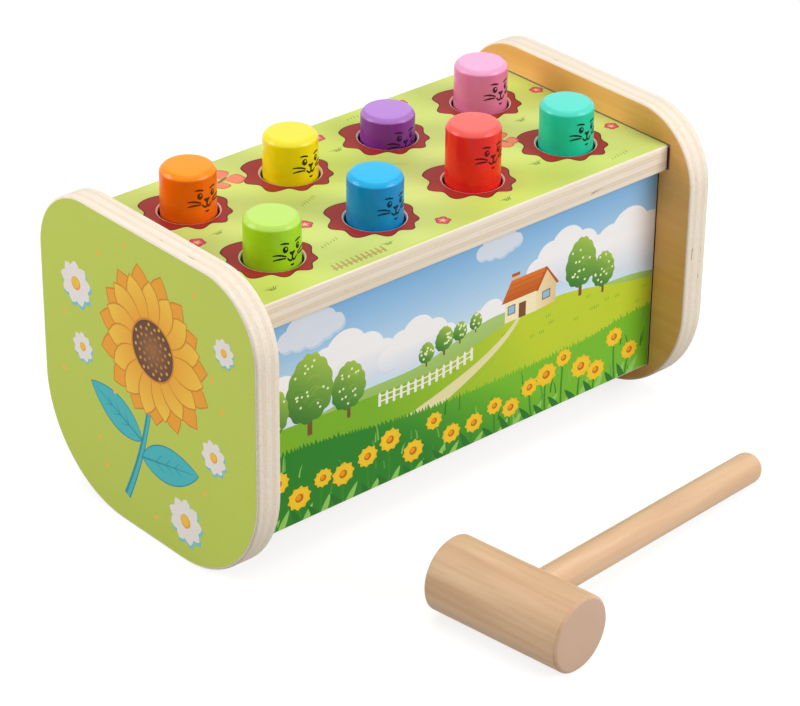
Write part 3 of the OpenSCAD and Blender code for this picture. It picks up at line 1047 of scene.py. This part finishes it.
def makeEndPrints():
    ground = ramp(endPrint["groundDeep"], endPrint["ground"], *endPrint["groundRun"])
    outline, spacing = roundedOutline(endPrint["inset"], endPanel), endPrint["spacing"]
    near = placing((0, -1, 0), (0, 0, 1), (endLow.x / mm, 0, 0))
    far = placing((0, 1, 0), (0, 0, 1), (farHigh.x / mm, 0, 0))
    for name, place in (("nearEndPrint", near), ("farEndPrint", far)):
        layPrint(name, endPicture(), ground, outline, [], spacing, place, "printed_end", inkEndMat)


makeEndPrints()


# Print on the side panels: a cottage in the hills above a row of yellow flowers

sidePrint = {
    "skyTop": (126, 180, 228), "skyLow": (212, 232, 246),
    "cloud": (250, 248, 248), "cloudShade": (222, 230, 242), "cloudFar": (196, 218, 240),
    "farHill": (176, 206, 120), "farHillDeep": (150, 190, 90),
    "hill": (196, 212, 52), "hillDeep": (126, 182, 44),
    "meadow": (122, 190, 44), "meadowDeep": (46, 132, 40),
    "tree": (176, 204, 84), "treeDeep": (52, 116, 44), "blossom": (238, 246, 196), "trunk": (122, 84, 48),
    "wall": (252, 238, 196), "wallShade": (230, 200, 148),
    "roof": (228, 124, 44), "roofDeep": (188, 88, 28),
    "door": (126, 78, 44), "pane": (150, 196, 222), "fence": (250, 244, 226), "path": (238, 228, 172),
    "petal": (252, 206, 48), "petalDeep": (244, 160, 30), "heart": (196, 108, 24),
    "stem": (60, 140, 40), "blade": (150, 206, 96), "bladeDeep": (40, 118, 36),
    "skyRun": (0, 56, 0, 100), "farRun": (0, 36, 0, 58),  # from point to point
    "hillRun": (-40, 20, 30, 58), "meadowRun": (-10, 2, 10, 34),
    "farHeight": 52.0, "midHeight": 44.0, "nearHeight": 26.0,
    "spacing": 5.0, "inset": 0.25, "left": -118.0, "right": 118.0, "seeds": (11, 23),
    "farClouds": [(-84.0, 88.0, 8.0), (20.0, 92.0, 6.0)],  # place and size
    "clouds": [
        (-100.0, 58.0, 10.0), (-66.0, 64.0, 12.5), (-26.0, 60.0, 10.0),
        (60.0, 72.0, 11.0), (98.0, 66.0, 13.0), (16.0, 56.0, 8.0),
    ],
    "puffs": [  # place and radius, as shares of a cloud's size
        (-1.5, 0.0, 0.62), (-0.8, 0.42, 0.74), (0.1, 0.62, 0.92), (1.0, 0.32, 0.78), (1.75, 0.02, 0.56),
        (0.3, -0.05, 0.9), (-0.7, -0.1, 0.7), (1.1, -0.12, 0.6),
    ],
    "farTrees": [(-20.0, 11.0), (-10.0, 13.0), (-1.0, 10.0), (8.0, 9.0)],  # place and height
    "trees": [  # place, depth of the root, width, height
        (70.0, 2.0, 19.0, 27.0), (84.0, 2.5, 14.0, 19.0), (-84.0, 6.0, 26.0, 36.0),
        (-63.0, 5.0, 19.0, 25.0), (-104.0, 6.0, 18.0, 26.0),
    ],
    "cottage": (40.0, 1.2, 15.0), "fenceRun": (-46.0, 6.0), "fenceHeight": 6.5, "fencePitch": 4.0,
    "pathStart": 34.0, "pathBends": [(10.0, 38.0), (-40.0, 22.0)], "pathWidths": (1.6, 4.2, 9.0),
    "tufts": 22, "blades": 60, "flowers": (-110.0, 112.0), "flowerRoot": -3.0,
    "flowerRadius": (4.6, 6.6), "flowerHeight": (9.0, 24.0), "flowerPitch": (8.5, 14.0),
}


def swell(x, at, spread):
    return math.exp(-((x - at) / spread) ** 2)


def farLine(x):
    return sidePrint["farHeight"] + 5.0 * math.sin(x / 34.0 + 0.8) + 2.0 * math.sin(x / 13.0)


def midLine(x):
    return sidePrint["midHeight"] + 12.0 * swell(x, 52.0, 46.0) - 0.05 * (x + 20.0) * (x < -20.0)


def nearLine(x):
    return sidePrint["nearHeight"] + 9.0 * swell(x, -96.0, 52.0) + 5.0 * swell(x, 112.0, 30.0)


def cloud(art, x, y, size, far=False):
    tones = sidePrint
    lit = ramp(tones["cloudShade"], tones["cloud"], x, y - 0.8 * size, x, y + 0.35 * size)
    back, front = (tones["cloudFar"], tones["cloudShade"]) if far else (tones["cloudShade"], lit)
    for dx, dy, fill in ((0.10 * size, -0.16 * size, back), (0.0, 0.0, front)):
        for px, py, radius in tones["puffs"]:
            art.dot(x + px * size + dx, y + py * size + dy, radius * size, 26, fill, 0.94)


def hillTop(art, line, fill, low, step=3.0):
    left, right = sidePrint["left"], sidePrint["right"]
    top = [(left + k * step, line(left + k * step)) for k in range(int((right - left) / step) + 1)]
    art.put([(left, low), (right, low)] + top[::-1], fill)


def grassEdge(art, line, fill, height, dice, low):
    left, right = sidePrint["left"], sidePrint["right"]
    top, x = [], left
    while x < right:
        lean = dice.uniform(-0.5, 1.0)
        top.append((x, line(x)))
        top.append((x + 0.5 + lean * 0.6, line(x) + height * dice.uniform(0.35, 1.0)))
        x += dice.uniform(1.3, 2.4)
    art.put([(left - 1.0, low), (right + 3.0, low), (right + 3.0, line(right))] + top[::-1], fill)


def roundTree(art, x, y, width, height, dice):
    tones = sidePrint
    cy = y + 0.58 * height
    art.put(rect(x - 0.05 * width, y - 0.04 * height, x + 0.05 * width, y + 0.3 * height), tones["trunk"])
    crown = []
    for k in range(72):
        a = fullTurn * k / 72
        lobe = 1.0 + 0.075 * abs(math.sin(a * 6.5))
        narrow = 1.0 - 0.16 * math.sin(a)
        across, up = 0.46 * width * lobe * narrow, 0.43 * height * lobe
        crown.append((x + across * math.cos(a), cy + up * math.sin(a)))
    low, high = (x - 0.40 * width, cy - 0.42 * height), (x + 0.30 * width, cy + 0.42 * height)
    art.put(crown, ramp(tones["treeDeep"], tones["tree"], *low, *high))
    size = 0.15 * width
    for k in range(7):  # leafy tufts
        a = dice.uniform(0.0, fullTurn)
        reach = dice.uniform(0.1, 0.30)
        px, py = x + reach * width * math.cos(a), cy + reach * 1.1 * height * math.sin(a)
        share = 0.5 + 0.9 * (px - x) / width + 0.8 * (py - cy) / height + 0.12
        path = [(px - size, py - 0.25 * size), (px, py + 0.35 * size), (px + size, py - 0.25 * size)]
        art.curve(path, 6, (0.2, 0.12 * size + 0.5, 0.2), between(tones["treeDeep"], tones["tree"], share))
    for k in range(int(5 + width * 0.5)):
        a = dice.uniform(0.0, fullTurn)
        reach = math.sqrt(dice.random()) * 0.40
        px, py = x + reach * width * math.cos(a), cy + reach * 0.95 * height * math.sin(a)
        art.dot(px, py, 0.62, 8, tones["blossom"])


def cottage(art, x, y, size):  # parts drawn on a square of one unit
    tones = sidePrint
    gable = ramp(tones["wall"], tones["wallShade"], x, y, x + size, y)
    slope = ramp(tones["roof"], tones["roofDeep"], x, y + 1.3 * size, x, y + 0.5 * size)
    parts = [
        (rect(-1.0, -0.06, 0.22, 0.70), tones["wall"]),
        ([(0.22, -0.06), (1.0, 0.0), (1.0, 0.70), (0.61, 1.22), (0.22, 0.70)], gable),
        (rect(-0.72, 0.9, -0.50, 1.42), tones["wallShade"]),
        (rect(-0.77, 1.36, -0.45, 1.46), tones["roofDeep"]),
        ([(-1.14, 0.60), (0.20, 0.60), (0.60, 1.26), (-0.78, 1.26)], slope),
        ([(0.20, 0.60), (0.28, 0.56), (0.66, 1.20), (0.60, 1.28)], tones["roofDeep"]),
        ([(0.60, 1.28), (0.62, 1.16), (1.04, 0.56), (1.12, 0.60)], tones["roofDeep"]),
    ]
    for k in range(1, 4):  # courses of tiles
        v = 0.60 + 0.165 * k
        parts.append((rect(-1.14 + 0.09 * k, v, 0.20 + 0.10 * k, v + 0.022), tones["roofDeep"]))
    parts += [
        (rect(-0.46, -0.06, -0.18, 0.42), tones["door"]),
        (rect(-0.90, 0.16, -0.60, 0.46), tones["door"]),
        (rect(-0.87, 0.19, -0.63, 0.43), tones["pane"]),
        ([(0.46, 0.20), (0.78, 0.22), (0.78, 0.50), (0.46, 0.48)], tones["door"]),
        ([(0.49, 0.235), (0.75, 0.25), (0.75, 0.465), (0.49, 0.45)], tones["pane"]),
    ]
    for points, fill in parts:
        art.put([(x + u * size, y + v * size) for u, v in points], fill)


def picketFence(art, line):
    start, end = sidePrint["fenceRun"]
    height, pitch, tone = sidePrint["fenceHeight"], sidePrint["fencePitch"], sidePrint["fence"]
    places = [start + k * pitch for k in range(int((end - start) / pitch) + 1)]
    for share in (0.30, 0.68):
        art.line([(x, line(x) + share * height) for x in places], (0.7, 0.7, 0.7), tone)
    for x in places:
        y = line(x) - 0.4
        shoulder = y + height * 0.86
        left, right = x - 0.75, x + 0.75
        art.put([(left, y), (right, y), (right, shoulder), (x, y + height * 1.04), (left, shoulder)], tone)


def yellowFlower(art, x, y, root, radius, dice):
    tones = sidePrint
    sway = dice.uniform(-2.5, 2.5)
    path = [(x + sway, root), (x + 0.5 * sway - 0.6, 0.5 * (root + y)), (x, y)]
    art.curve(path, 8, (1.3, 1.1, 0.8), tones["stem"])
    for side, key in ((-1, "bladeDeep"), (1, "blade")):
        turn = math.radians(90 - side * dice.uniform(24, 42))
        art.put(leaf(x + sway, root - 1.0, dice.uniform(10, 15), 3.4, turn, 0.4), tones[key])
    petals = dice.choice((9, 10, 11))
    spin = dice.uniform(0, 1)
    squash = 0.9
    for ring, reach in enumerate((1.0, 0.86)):
        for k in range(petals):
            a = spin + fullTurn * (k + 0.5 * ring) / petals
            tip = (x + radius * math.cos(a), y + radius * squash * math.sin(a))
            fill = tones["petal"] if ring else ramp(tones["petalDeep"], tones["petal"], x, y, *tip)
            petal = leaf(0, 0, radius * reach, radius * 0.50, a, 0.64, 7)
            art.put([(x + u, y + v * squash) for u, v in petal], fill)
    art.put(ellipse(x, y, radius * 0.34, radius * 0.31, 18), tones["heart"])
    inner = ellipse(x - 0.06 * radius, y + 0.06 * radius, radius * 0.22, radius * 0.20, 14)
    art.put(inner, tones["petalDeep"])


def grassTuft(art, dice):
    x = dice.uniform(-110, 110)
    y = midLine(x) - dice.uniform(4, 16)
    for j in range(3):
        root = x + j * 0.9
        lean = (j - 1) * 0.5 + dice.uniform(-0.2, 0.2)
        path = [(root, y), (root + 0.4 * lean, y + 0.8), (root + lean, y + 1.7)]
        art.line(path, (0.45, 0.4, 0.1), sidePrint["hillDeep"])


def grassBlade(art, dice):
    x = dice.uniform(-114, 114)
    y = dice.uniform(0, nearLine(x) - 5.0)
    height = dice.uniform(4, 9)
    lean = dice.uniform(-2.5, 2.5)
    tone = between(sidePrint["bladeDeep"], sidePrint["blade"], dice.random())
    path = [(x, y), (x + 0.3 * lean, y + 0.6 * height), (x + lean, y + height)]
    art.curve(path, 6, (0.9, 0.7, 0.12), tone)


def sidePicture(seed):
    tones = sidePrint
    dice = random.Random(seed)
    art = Drawing()
    for spot in tones["farClouds"]:
        cloud(art, *spot, True)
    for spot in tones["clouds"]:
        cloud(art, *spot)
    hillTop(art, farLine, ramp(tones["farHillDeep"], tones["farHill"], *tones["farRun"]), 10.0)
    for x, height in tones["farTrees"]:
        roundTree(art, x, farLine(x) - 2.0, height * 0.82, height, dice)
    hillTop(art, midLine, ramp(tones["hillDeep"], tones["hill"], *tones["hillRun"]), 6.0)
    for k in range(tones["tufts"]):
        grassTuft(art, dice)
    start = tones["pathStart"]
    art.curve([(start, midLine(start))] + tones["pathBends"], 14, tones["pathWidths"], tones["path"])
    x, depth, size = tones["cottage"]
    cottage(art, x, midLine(x) - depth, size)
    for x, depth, width, height in tones["trees"]:
        roundTree(art, x, midLine(x) - depth, width, height, dice)
    picketFence(art, lambda x: midLine(x) - 6.0)
    meadow = ramp(tones["meadowDeep"], tones["meadow"], *tones["meadowRun"])
    grassEdge(art, nearLine, meadow, 3.0, dice, -2.0)
    for k in range(tones["blades"]):
        grassBlade(art, dice)
    x, end = tones["flowers"]
    while x < end:
        radius = dice.uniform(*tones["flowerRadius"])
        height = dice.uniform(*tones["flowerHeight"])
        yellowFlower(art, x, height, tones["flowerRoot"], radius, dice)
        x += dice.uniform(*tones["flowerPitch"])
    return art


def makeSidePrints():
    inset, spacing = sidePrint["inset"], sidePrint["spacing"]
    half = (frontHigh.x - frontLow.x) / mm / 2
    height = (frontHigh.z - frontLow.z) / mm
    outline = rect(-half + inset, inset, half - inset, height - inset)
    sky = ramp(sidePrint["skyLow"], sidePrint["skyTop"], *sidePrint["skyRun"])
    front = placing((1, 0, 0), (0, 0, 1), (0, frontLow.y / mm, frontLow.z / mm))
    back = placing((-1, 0, 0), (0, 0, 1), (0, backHigh.y / mm, backLow.z / mm))
    for name, place, seed in zip(("frontPrint", "backPrint"), (front, back), sidePrint["seeds"]):
        layPrint(name, sidePicture(seed), sky, outline, [], spacing, place, "printed_side", inkSideMat)


makeSidePrints()


# Print on the top board: green ground, scalloped rings at the holes, small flowers and tufts

topPrint = {
    "pale": (211, 222, 130), "lime": (202, 219, 98), "fresh": (192, 216, 101),
    "ring": (160, 44, 38), "ringLine": (84, 34, 14), "ringLineWidth": 0.6,
    "tips": (  # angle and reach
        (-155, 20.6), (-112, 18.6), (-74, 19.4), (-45, 18.6),
        (-5, 18.6), (41, 18.8), (128, 21.9), (168, 21.8),
    ),
    "dips": (
        (-175, 18.1), (-131, 15.7), (-91, 15.9), (-58, 17.3),
        (-27, 16.6), (18, 17.0), (74, 17.2), (148, 18.7),
    ),
    "petal": (218, 86, 100), "petalPale": (240, 150, 146),
    "flowerLine": (168, 52, 64), "heart": (248, 204, 140),
    "tuft": (134, 164, 66), "tuftDeep": (96, 128, 48), "wing": (238, 136, 104), "wingDeep": (206, 90, 76),
    "fence": (188, 164, 92), "fenceStart": -70.0, "fencePitch": 2.6, "pickets": 11,
    "picket": [(0.0, -53.6), (0.5, -51.4), (0.8, -48.4)], "picketWidths": (1.2, 1.2, 0.8),
    "rail": [(-71.0, -52.0), (-57.0, -51.8), (-43.0, -51.8)], "railWidths": (0.7, 0.7, 0.7),
    "spacing": 4.0,
    "ringSheet": (2.5, 0.02, 0.09), "stampSheet": (3.0, 0.02, 0.08),  # spacing, underside, top
}
stamps = {  # x, y, turn in degrees, size
    "flower": [
        (-98, 2, 10, 0.95), (-54, -14, 40, 0.9), (3, 46, 5, 0.9), (-8, -48, 25, 0.9), (110, -28, 0, 0.85),
        (111, 21, 50, 0.85), (-56, 51, 33, 0.8), (55, 50, 12, 0.8),
    ],
    "tuft": [
        (59, -35, 0, 0.9), (26, -52, 8, 0.9), (-39, -50, -6, 0.8), (-100, -50, 0, 0.9), (84, 1, 5, 0.9),
        (2, 30, 0, 0.9), (-86, 2, 5, 0.8),
    ],
    "dashes": [
        (-57, -34, 12, 1.0), (-39, 1, 20, 1.0), (55, -27, -40, 0.6), (13, 3, -40, 0.7), (30, 51, 0, 1.0),
        (92, -52, 5, 1.0), (-106, 44, 60, 0.8),
    ],
    "butterfly": [(-55, 40, -70, 1.45), (63, -8, 20, 1.35), (108, 50, 30, 0.8)],
}


def topGround(x, y):
    tones = topPrint
    a = 0.5 + 0.5 * math.sin(x / 23.0 + 1.3 * math.sin(y / 19.0) + 0.7)
    b = 0.5 + 0.5 * math.sin(y / 15.0 - 1.1 * math.sin(x / 27.0) - 0.4)
    tone = between(tones["pale"], tones["lime"], 0.15 + 0.85 * a * b)
    return between(tone, tones["fresh"], 0.35 * (1 - a) * b)


def scallop(grown, steps=8):  # a wavy ring through the tips and dips
    knots = sorted(topPrint["tips"] + topPrint["dips"])
    points = []
    for (start, near), (end, far) in zip(knots, knots[1:] + [(knots[0][0] + 360, knots[0][1])]):
        for k in range(steps):
            t = k / steps
            reach = near + (far - near) * 0.5 * (1 - math.cos(math.pi * t)) + grown
            a = math.radians(start + (end - start) * t)
            points.append((reach * math.cos(a), reach * math.sin(a)))
    return points


def stampMotifs():
    tones = topPrint
    flower, tuft, dashes, wings = (Drawing() for k in range(4))
    for key, reach, wide, fullAt, count in (
        ("flowerLine", 4.1, 3.7, 0.62, 7), ("petal", 3.7, 3.0, 0.62, 7), ("petalPale", 2.3, 1.3, 0.6, 5),
    ):
        for k in range(5):
            flower.put(leaf(0, 0, reach, wide, fullTurn * k / 5 + 0.3, fullAt, count), tones[key])
    flower.dot(0, 0, 0.95, 14, tones["heart"])
    for k in range(5):
        side = k - 2
        lean = side * 1.3
        tip = (side * 0.9 + lean, 3.4 - 0.35 * abs(side))
        tone = tones["tuftDeep"] if k % 2 else tones["tuft"]
        tuft.curve([(side * 0.7, 0), (side * 0.8 + 0.2 * lean, 1.8), tip], 6, (0.5, 0.5, 0.12), tone)
    for k in range(6):
        x = k * 1.9
        path = [(x - 5, 0.25 * (k % 2)), (x - 4.5, 0.9), (x - 4.2, 1.6 + 0.4 * (k % 3))]
        dashes.line(path, (0.4, 0.4, 0.15), tones["tuft"])
    for side in (-1, 1):
        upper, lower = math.radians(90 - side * 48), math.radians(-90 + side * 40)
        for y, reach, wide, turn, key in (
            (0.4, 7.0, 6.4, upper, "wingDeep"), (-0.3, 5.2, 5.0, lower, "wingDeep"),
            (0.5, 6.4, 5.6, upper, "wing"), (-0.4, 4.7, 4.3, lower, "wing"),
        ):
            wings.put(leaf(0, y, reach, wide, turn, 0.62, 9), tones[key])
    wings.put(ellipse(0, 0.3, 0.5, 2.6, 12), tones["tuftDeep"])
    return {"flower": flower, "tuft": tuft, "dashes": dashes, "butterfly": wings}


def layTopPrint():
    tones = topPrint
    art = Drawing()
    for k in range(tones["pickets"]):
        x = tones["fenceStart"] + k * tones["fencePitch"]
        art.line([(x + dx, y) for dx, y in tones["picket"]], tones["picketWidths"], tones["fence"])
    art.line(tones["rail"], tones["railWidths"], tones["fence"])
    outline = boardOutline(topBoard["printEnd"], topBoard["printInset"])
    level = placing((1, 0, 0), (0, 1, 0), (0, 0, topHigh.z / mm))
    holes = [holeOutline(spot, topBoard["printHole"]) for spot in holeSpots]
    layPrint("topPrint", art, topGround, outline, holes, tones["spacing"], level, "printed_top", inkTopMat)


def layStamps(tree):
    tones = topPrint
    band = [(scallop(0.0), tones["ringLine"]), (scallop(-tones["ringLineWidth"]), tones["ring"])]
    opening = [holeOutline((0, 0), topBoard["printHole"])]
    ring = inkMesh("ringMotif", band, None, None, opening, *tones["ringSheet"])
    motifs = {"ring": (ring, [(x, y, 0, 1.0) for x, y in holeSpots])}
    for label, shapes in stampMotifs().items():
        mesh = inkMesh(label + "Motif", shapes, None, None, [], *tones["stampSheet"])
        motifs[label] = (mesh, stamps[label])
    for label, (mesh, places) in motifs.items():
        mesh.transform(Matrix.Scale(mm, 4))
        holder = addObject(label + "Motif", mesh)
        spots = [(Vector((x * mm, y * mm, topHigh.z)), math.radians(a), size) for x, y, a, size in places]
        values = {"Motif": holder, "Size": 1.0, "Finish": inkTopMat}
        printed = grow(label + "Print", pointMesh(label + "Spots", spots), tree, values)
        bpy.data.objects.remove(holder)
        carry(label + "Print", printed, "bench", "printed_top")
        print("stamped:", label, len(spots))


layTopPrint()
layStamps(stampTree())


# Pegs, each with its drawn face

pegs = {  # side, crown (a lighter colour painted on the top as painted light and sheen), the face's turn in degrees, how much lower it sits, how far the ink is stained
    "orange": ((238, 101, 0), (246, 152, 4), 2.5, 0.1, 0.32),
    "yellow": ((238, 213, 0), (244, 228, 64), 7.0, 0.3, 0.18),
    "violet": ((130, 48, 148), (184, 132, 212), 0.0, 0.0, 0.28),
    "pink": ((226, 120, 162), (240, 176, 214), 5.5, 0.0, 0.2),
    "lime": ((160, 210, 28), (192, 228, 108), 3.2, 1.4, 0.1),
    "blue": ((0, 134, 198), (36, 184, 234), 5.0, 0.6, 0.28),
    "red": ((234, 36, 24), (244, 108, 100), 2.0, 0.3, 0.3),
    "teal": ((22, 200, 162), (92, 222, 204), 4.0, -0.3, 0.14),
}
pegShape = {
    "radius": 12.0, "bevelDrop": 2.1, "bevelIn": 1.8, "ease": 0.95, "crown": 0.25, "foot": 0.8,
    "easeSteps": 5, "rows": 6, "segments": 96, "sharpAt": 40,
}
faceInk = {
    "ink": (16, 11, 13), "inkPale": (60, 52, 54), "dryScale": 900.0, "dryMark": 0.1,
    "rough": 0.45, "spread": 0.2, "shine": 0.12,
    "sheet": (0.5, -0.03, 0.05),  # spacing, underside, top
}
pegFace = {  # measured from the middle of the peg's top edge
    "eye": (3.35, -9.6, 1.25, 1.5),  # place and half sizes
    "glint": (0.35, -9.2, 0.46, 0.54),  # shift from the eye, height and half sizes
    "pairs": [  # brow, mouth and whiskers on one side: path, steps, widths
        ([(5.5, -6.9), (3.7, -6.8), (1.7, -7.3)], 8, (0.5, 0.95, 0.7)),
        ([(0.0, -14.2), (1.0, -15.0), (2.5, -13.6)], 9, (0.8, 1.0, 0.6)),
        ([(2.9, -12.9), (5.8, -11.8), (8.7, -11.9)], 14, (0.6, 0.9, 0.45)),
        ([(3.2, -13.6), (5.9, -13.5), (8.6, -14.1)], 14, (0.6, 0.9, 0.45)),
    ],
    "nose": [
        (-1.6, -11.4), (-1.0, -11.0), (0.0, -11.2), (1.0, -11.0),
        (1.6, -11.4), (0.9, -12.4), (0.0, -13.1), (-0.9, -12.4),
    ],
    "lip": [(0.0, -12.8), (0.0, -13.5), (0.0, -14.4)], "lipWidths": (0.85, 0.85, 0.85),
    "chin": [(-0.9, -16.8), (0.0, -17.2), (0.9, -16.8)], "chinWidths": (0.55, 0.95, 0.55),
}


def easedCorner(before, corner, after):
    reach, count = pegShape["ease"], pegShape["easeSteps"]
    corner = Vector(corner)
    first = corner + (Vector(before) - corner).normalized() * reach
    last = corner + (Vector(after) - corner).normalized() * reach
    points = []
    for k in range(count + 1):
        t = k / count
        points.append(tuple(first * (1 - t) ** 2 + corner * (2 * t * (1 - t)) + last * t * t))
    return points


def pegProfile(low, high):
    r, foot, crown, rows = (pegShape[k] for k in ("radius", "foot", "crown", "rows"))
    rim = high - crown
    lower, upper = (r, rim - pegShape["bevelDrop"]), (r - pegShape["bevelIn"], rim)
    side = [(0.0, low), (r - foot, low), (r, low + foot)]
    side += [(r, low + foot + (lower[1] - low - foot) * k / rows) for k in range(1, rows)]
    side += easedCorner((r, low), lower, upper) + easedCorner(lower, upper, (0.0, rim + crown * 2))
    reach, start = side[-1]
    for k in range(1, rows + 1):
        t = k / rows
        side.append((reach * (1 - t), start + (high - start) * (1 - (1 - t) ** 2)))
    return side


def faceDrawing(ink):
    art, gaps = Drawing(), []
    eyeX, eyeY, eyeWide, eyeHigh = pegFace["eye"]
    glintX, glintY, glintWide, glintHigh = pegFace["glint"]
    for side in (-1, 1):
        art.put(ellipse(side * eyeX, eyeY, eyeWide, eyeHigh, 22), ink)
        gaps.append(ellipse(side * eyeX + glintX, glintY, glintWide, glintHigh, 10))
        for path, count, widths in pegFace["pairs"]:
            art.curve([(side * x, y) for x, y in path], count, widths, ink)
    art.put(pegFace["nose"], ink)
    art.line(pegFace["lip"], pegFace["lipWidths"], ink)
    art.curve(pegFace["chin"], 6, pegFace["chinWidths"], ink)
    return art, gaps


def drawnInk():
    material, w = newMaterial("faceInk")
    dry = noise(w, objectCoords(w), faceInk["dryScale"])
    tone = mixed(w, dry * faceInk["dryMark"], inkColour(w), faceInk["inkPale"])
    rough = faceInk["rough"] + dry * faceInk["spread"]
    closeMaterial(w, {"Base Color": tone, "Roughness": rough, "Specular IOR Level": faceInk["shine"]})
    return material


def makePegs(wrap):
    inkDark = drawnInk()
    radius, segments, sharpAt = (pegShape[k] for k in ("radius", "segments", "sharpAt"))
    for name, (colour, crown, turn, lower, stain) in pegs.items():
        low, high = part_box(name + "_peg")
        x, y, _ = (low + high) / 2
        body, slot = "peg_" + name, name + "_lacquer"
        finish = lacquer(name + "Lacquer", colour, crown, (x, y, high.z - lacquerFinish["topAt"]))
        profile = pegProfile(low.z / mm, high.z / mm)
        place = Matrix.Translation((x, y, 0.0))
        turnPiece(name + "Peg", profile, segments, finish, sharpAt, place, body, slot, name + "_peg")
        art, gaps = faceDrawing(between(faceInk["ink"], colour, stain))  # ink takes up the lacquer's colour
        flat = inkMesh("flatFace", art, None, None, gaps, *faceInk["sheet"])
        flat.transform(Matrix.Scale(mm, 4))
        values = {"Radius": radius * mm, "Turn": math.radians(turn), "Finish": inkDark}
        face = grow(name + "Face", flat, wrap, values)
        face.transform(Matrix.Translation((x, y, high.z - lower * mm)))
        carry(name + "Face", face, body, slot)
        dress([name + "_peg_base"], rockerMat)
        dress([name + "_peg_screw"], steelMat)
    print("pegs turned:", len(pegs))


makePegs(wrapTree())


# Screws under the bottom board

bottomScrew = {  # lengths in millimetres, slots as shares of the head, turns in radians
    "head": 3.0, "shank": 1.5, "length": 24.0, "slotLength": 1.15, "slotWidth": 0.24,
    "turn": 0.4, "turnStep": 1.1,
}


def makeScrews():
    low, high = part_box("bottom_screws")
    head, shank, length = (bottomScrew[k] * mm for k in ("head", "shank", "length"))
    spots = []
    for y in (low.y + head, high.y - head):
        for x in (low.x + head, high.x - head):
            turn = bottomScrew["turn"] + bottomScrew["turnStep"] * len(spots)
            spots.append((Vector((x, y, low.z)), turn, 1.0))
    values = {
        "Head": head, "Shank": shank, "Length": length, "Finish": steelMat,
        "Slot Length": bottomScrew["slotLength"], "Slot Width": bottomScrew["slotWidth"],
    }
    mesh = grow("bottomScrews", pointMesh("screwSpots", spots), screwTree(), values)
    carry("bottomScrews", mesh, "bench", "steel", "bottom_screws")
    print("screws set:", len(spots))


makeScrews()


# Mallet

mallet = {
    "place": (-61.5, -153.0, 16.75), "turn": 7.5,
    "headRadius": 16.75, "headLength": 68.5, "chamfer": 1.2,
    "headRows": 12, "headSegments": 128, "headSharp": 32,
    "handleRadius": 7.0, "reach": 165.0, "seat": 7.0, "seatEase": 0.4, "tipRound": 4.5,
    "handleRows": 16, "handleSegments": 72, "handleSharp": 40,
}


def headProfile():
    half, r, c, rows = mallet["headLength"] / 2, mallet["headRadius"], mallet["chamfer"], mallet["headRows"]
    side = [(0.0, -half), (0.5 * r, -half), (r - c - 0.3, -half)]
    side += [(r - c, -half + 0.06), (r - 0.25, -half + c - 0.3), (r - 0.03, -half + c)]  # an eased chamfer
    corner = side[:]
    side += [(r, -half + c + 0.5 + (2 * half - 2 * c - 1.0) * k / rows) for k in range(rows + 1)]
    return side + [(radius, -z) for radius, z in reversed(corner)]


def handleProfile():
    r, tip, rows = mallet["handleRadius"], mallet["tipRound"], mallet["handleRows"]
    reach, seat, ease = mallet["reach"], mallet["seat"], mallet["seatEase"]
    side = [(0.0, -seat), (r - ease, -seat), (r, -seat + ease)]
    side += [(r, -seat + ease + (reach - tip + seat - ease) * k / rows) for k in range(1, rows)]
    side += arc(r - tip, reach - tip, tip, 0, 90, 10)
    return side + [((r - tip) * (1 - k / 3), reach) for k in range(1, 4)]


def makeMallet():
    m = mallet
    run, radius = m["reach"] - m["tipRound"], m["handleRadius"]
    slope = math.asin(m["headRadius"] / math.hypot(run, radius)) - math.atan2(radius, run)
    turn = (0.0, slope, math.radians(m["turn"]))  # the handle's tip lies on the floor
    place = tuple(Vector(m["place"]) * mm)
    pose = Matrix.Translation(place) @ Matrix.Rotation(turn[2], 4, "Z") @ Matrix.Rotation(slope, 4, "Y")
    quarter = math.radians(90)
    headMat = beechWood("headBeech", place, turn, 1, m["headLength"] / 2 * mm, "pale", "deep")
    handleMat = beechWood("handleBeech", place, turn, 0, m["reach"] * mm, "handlePale", "handleDeep")
    turnPiece("malletHead", headProfile(), m["headSegments"], headMat, m["headSharp"],
              pose @ Matrix.Rotation(quarter, 4, "X"), "mallet", "beech", "mallet_head")
    turnPiece("malletHandle", handleProfile(), m["handleSegments"], handleMat, m["handleSharp"],
              pose @ Matrix.Rotation(quarter, 4, "Y"), "mallet", "beech", "mallet_handle")
    print("mallet turned")


makeMallet()
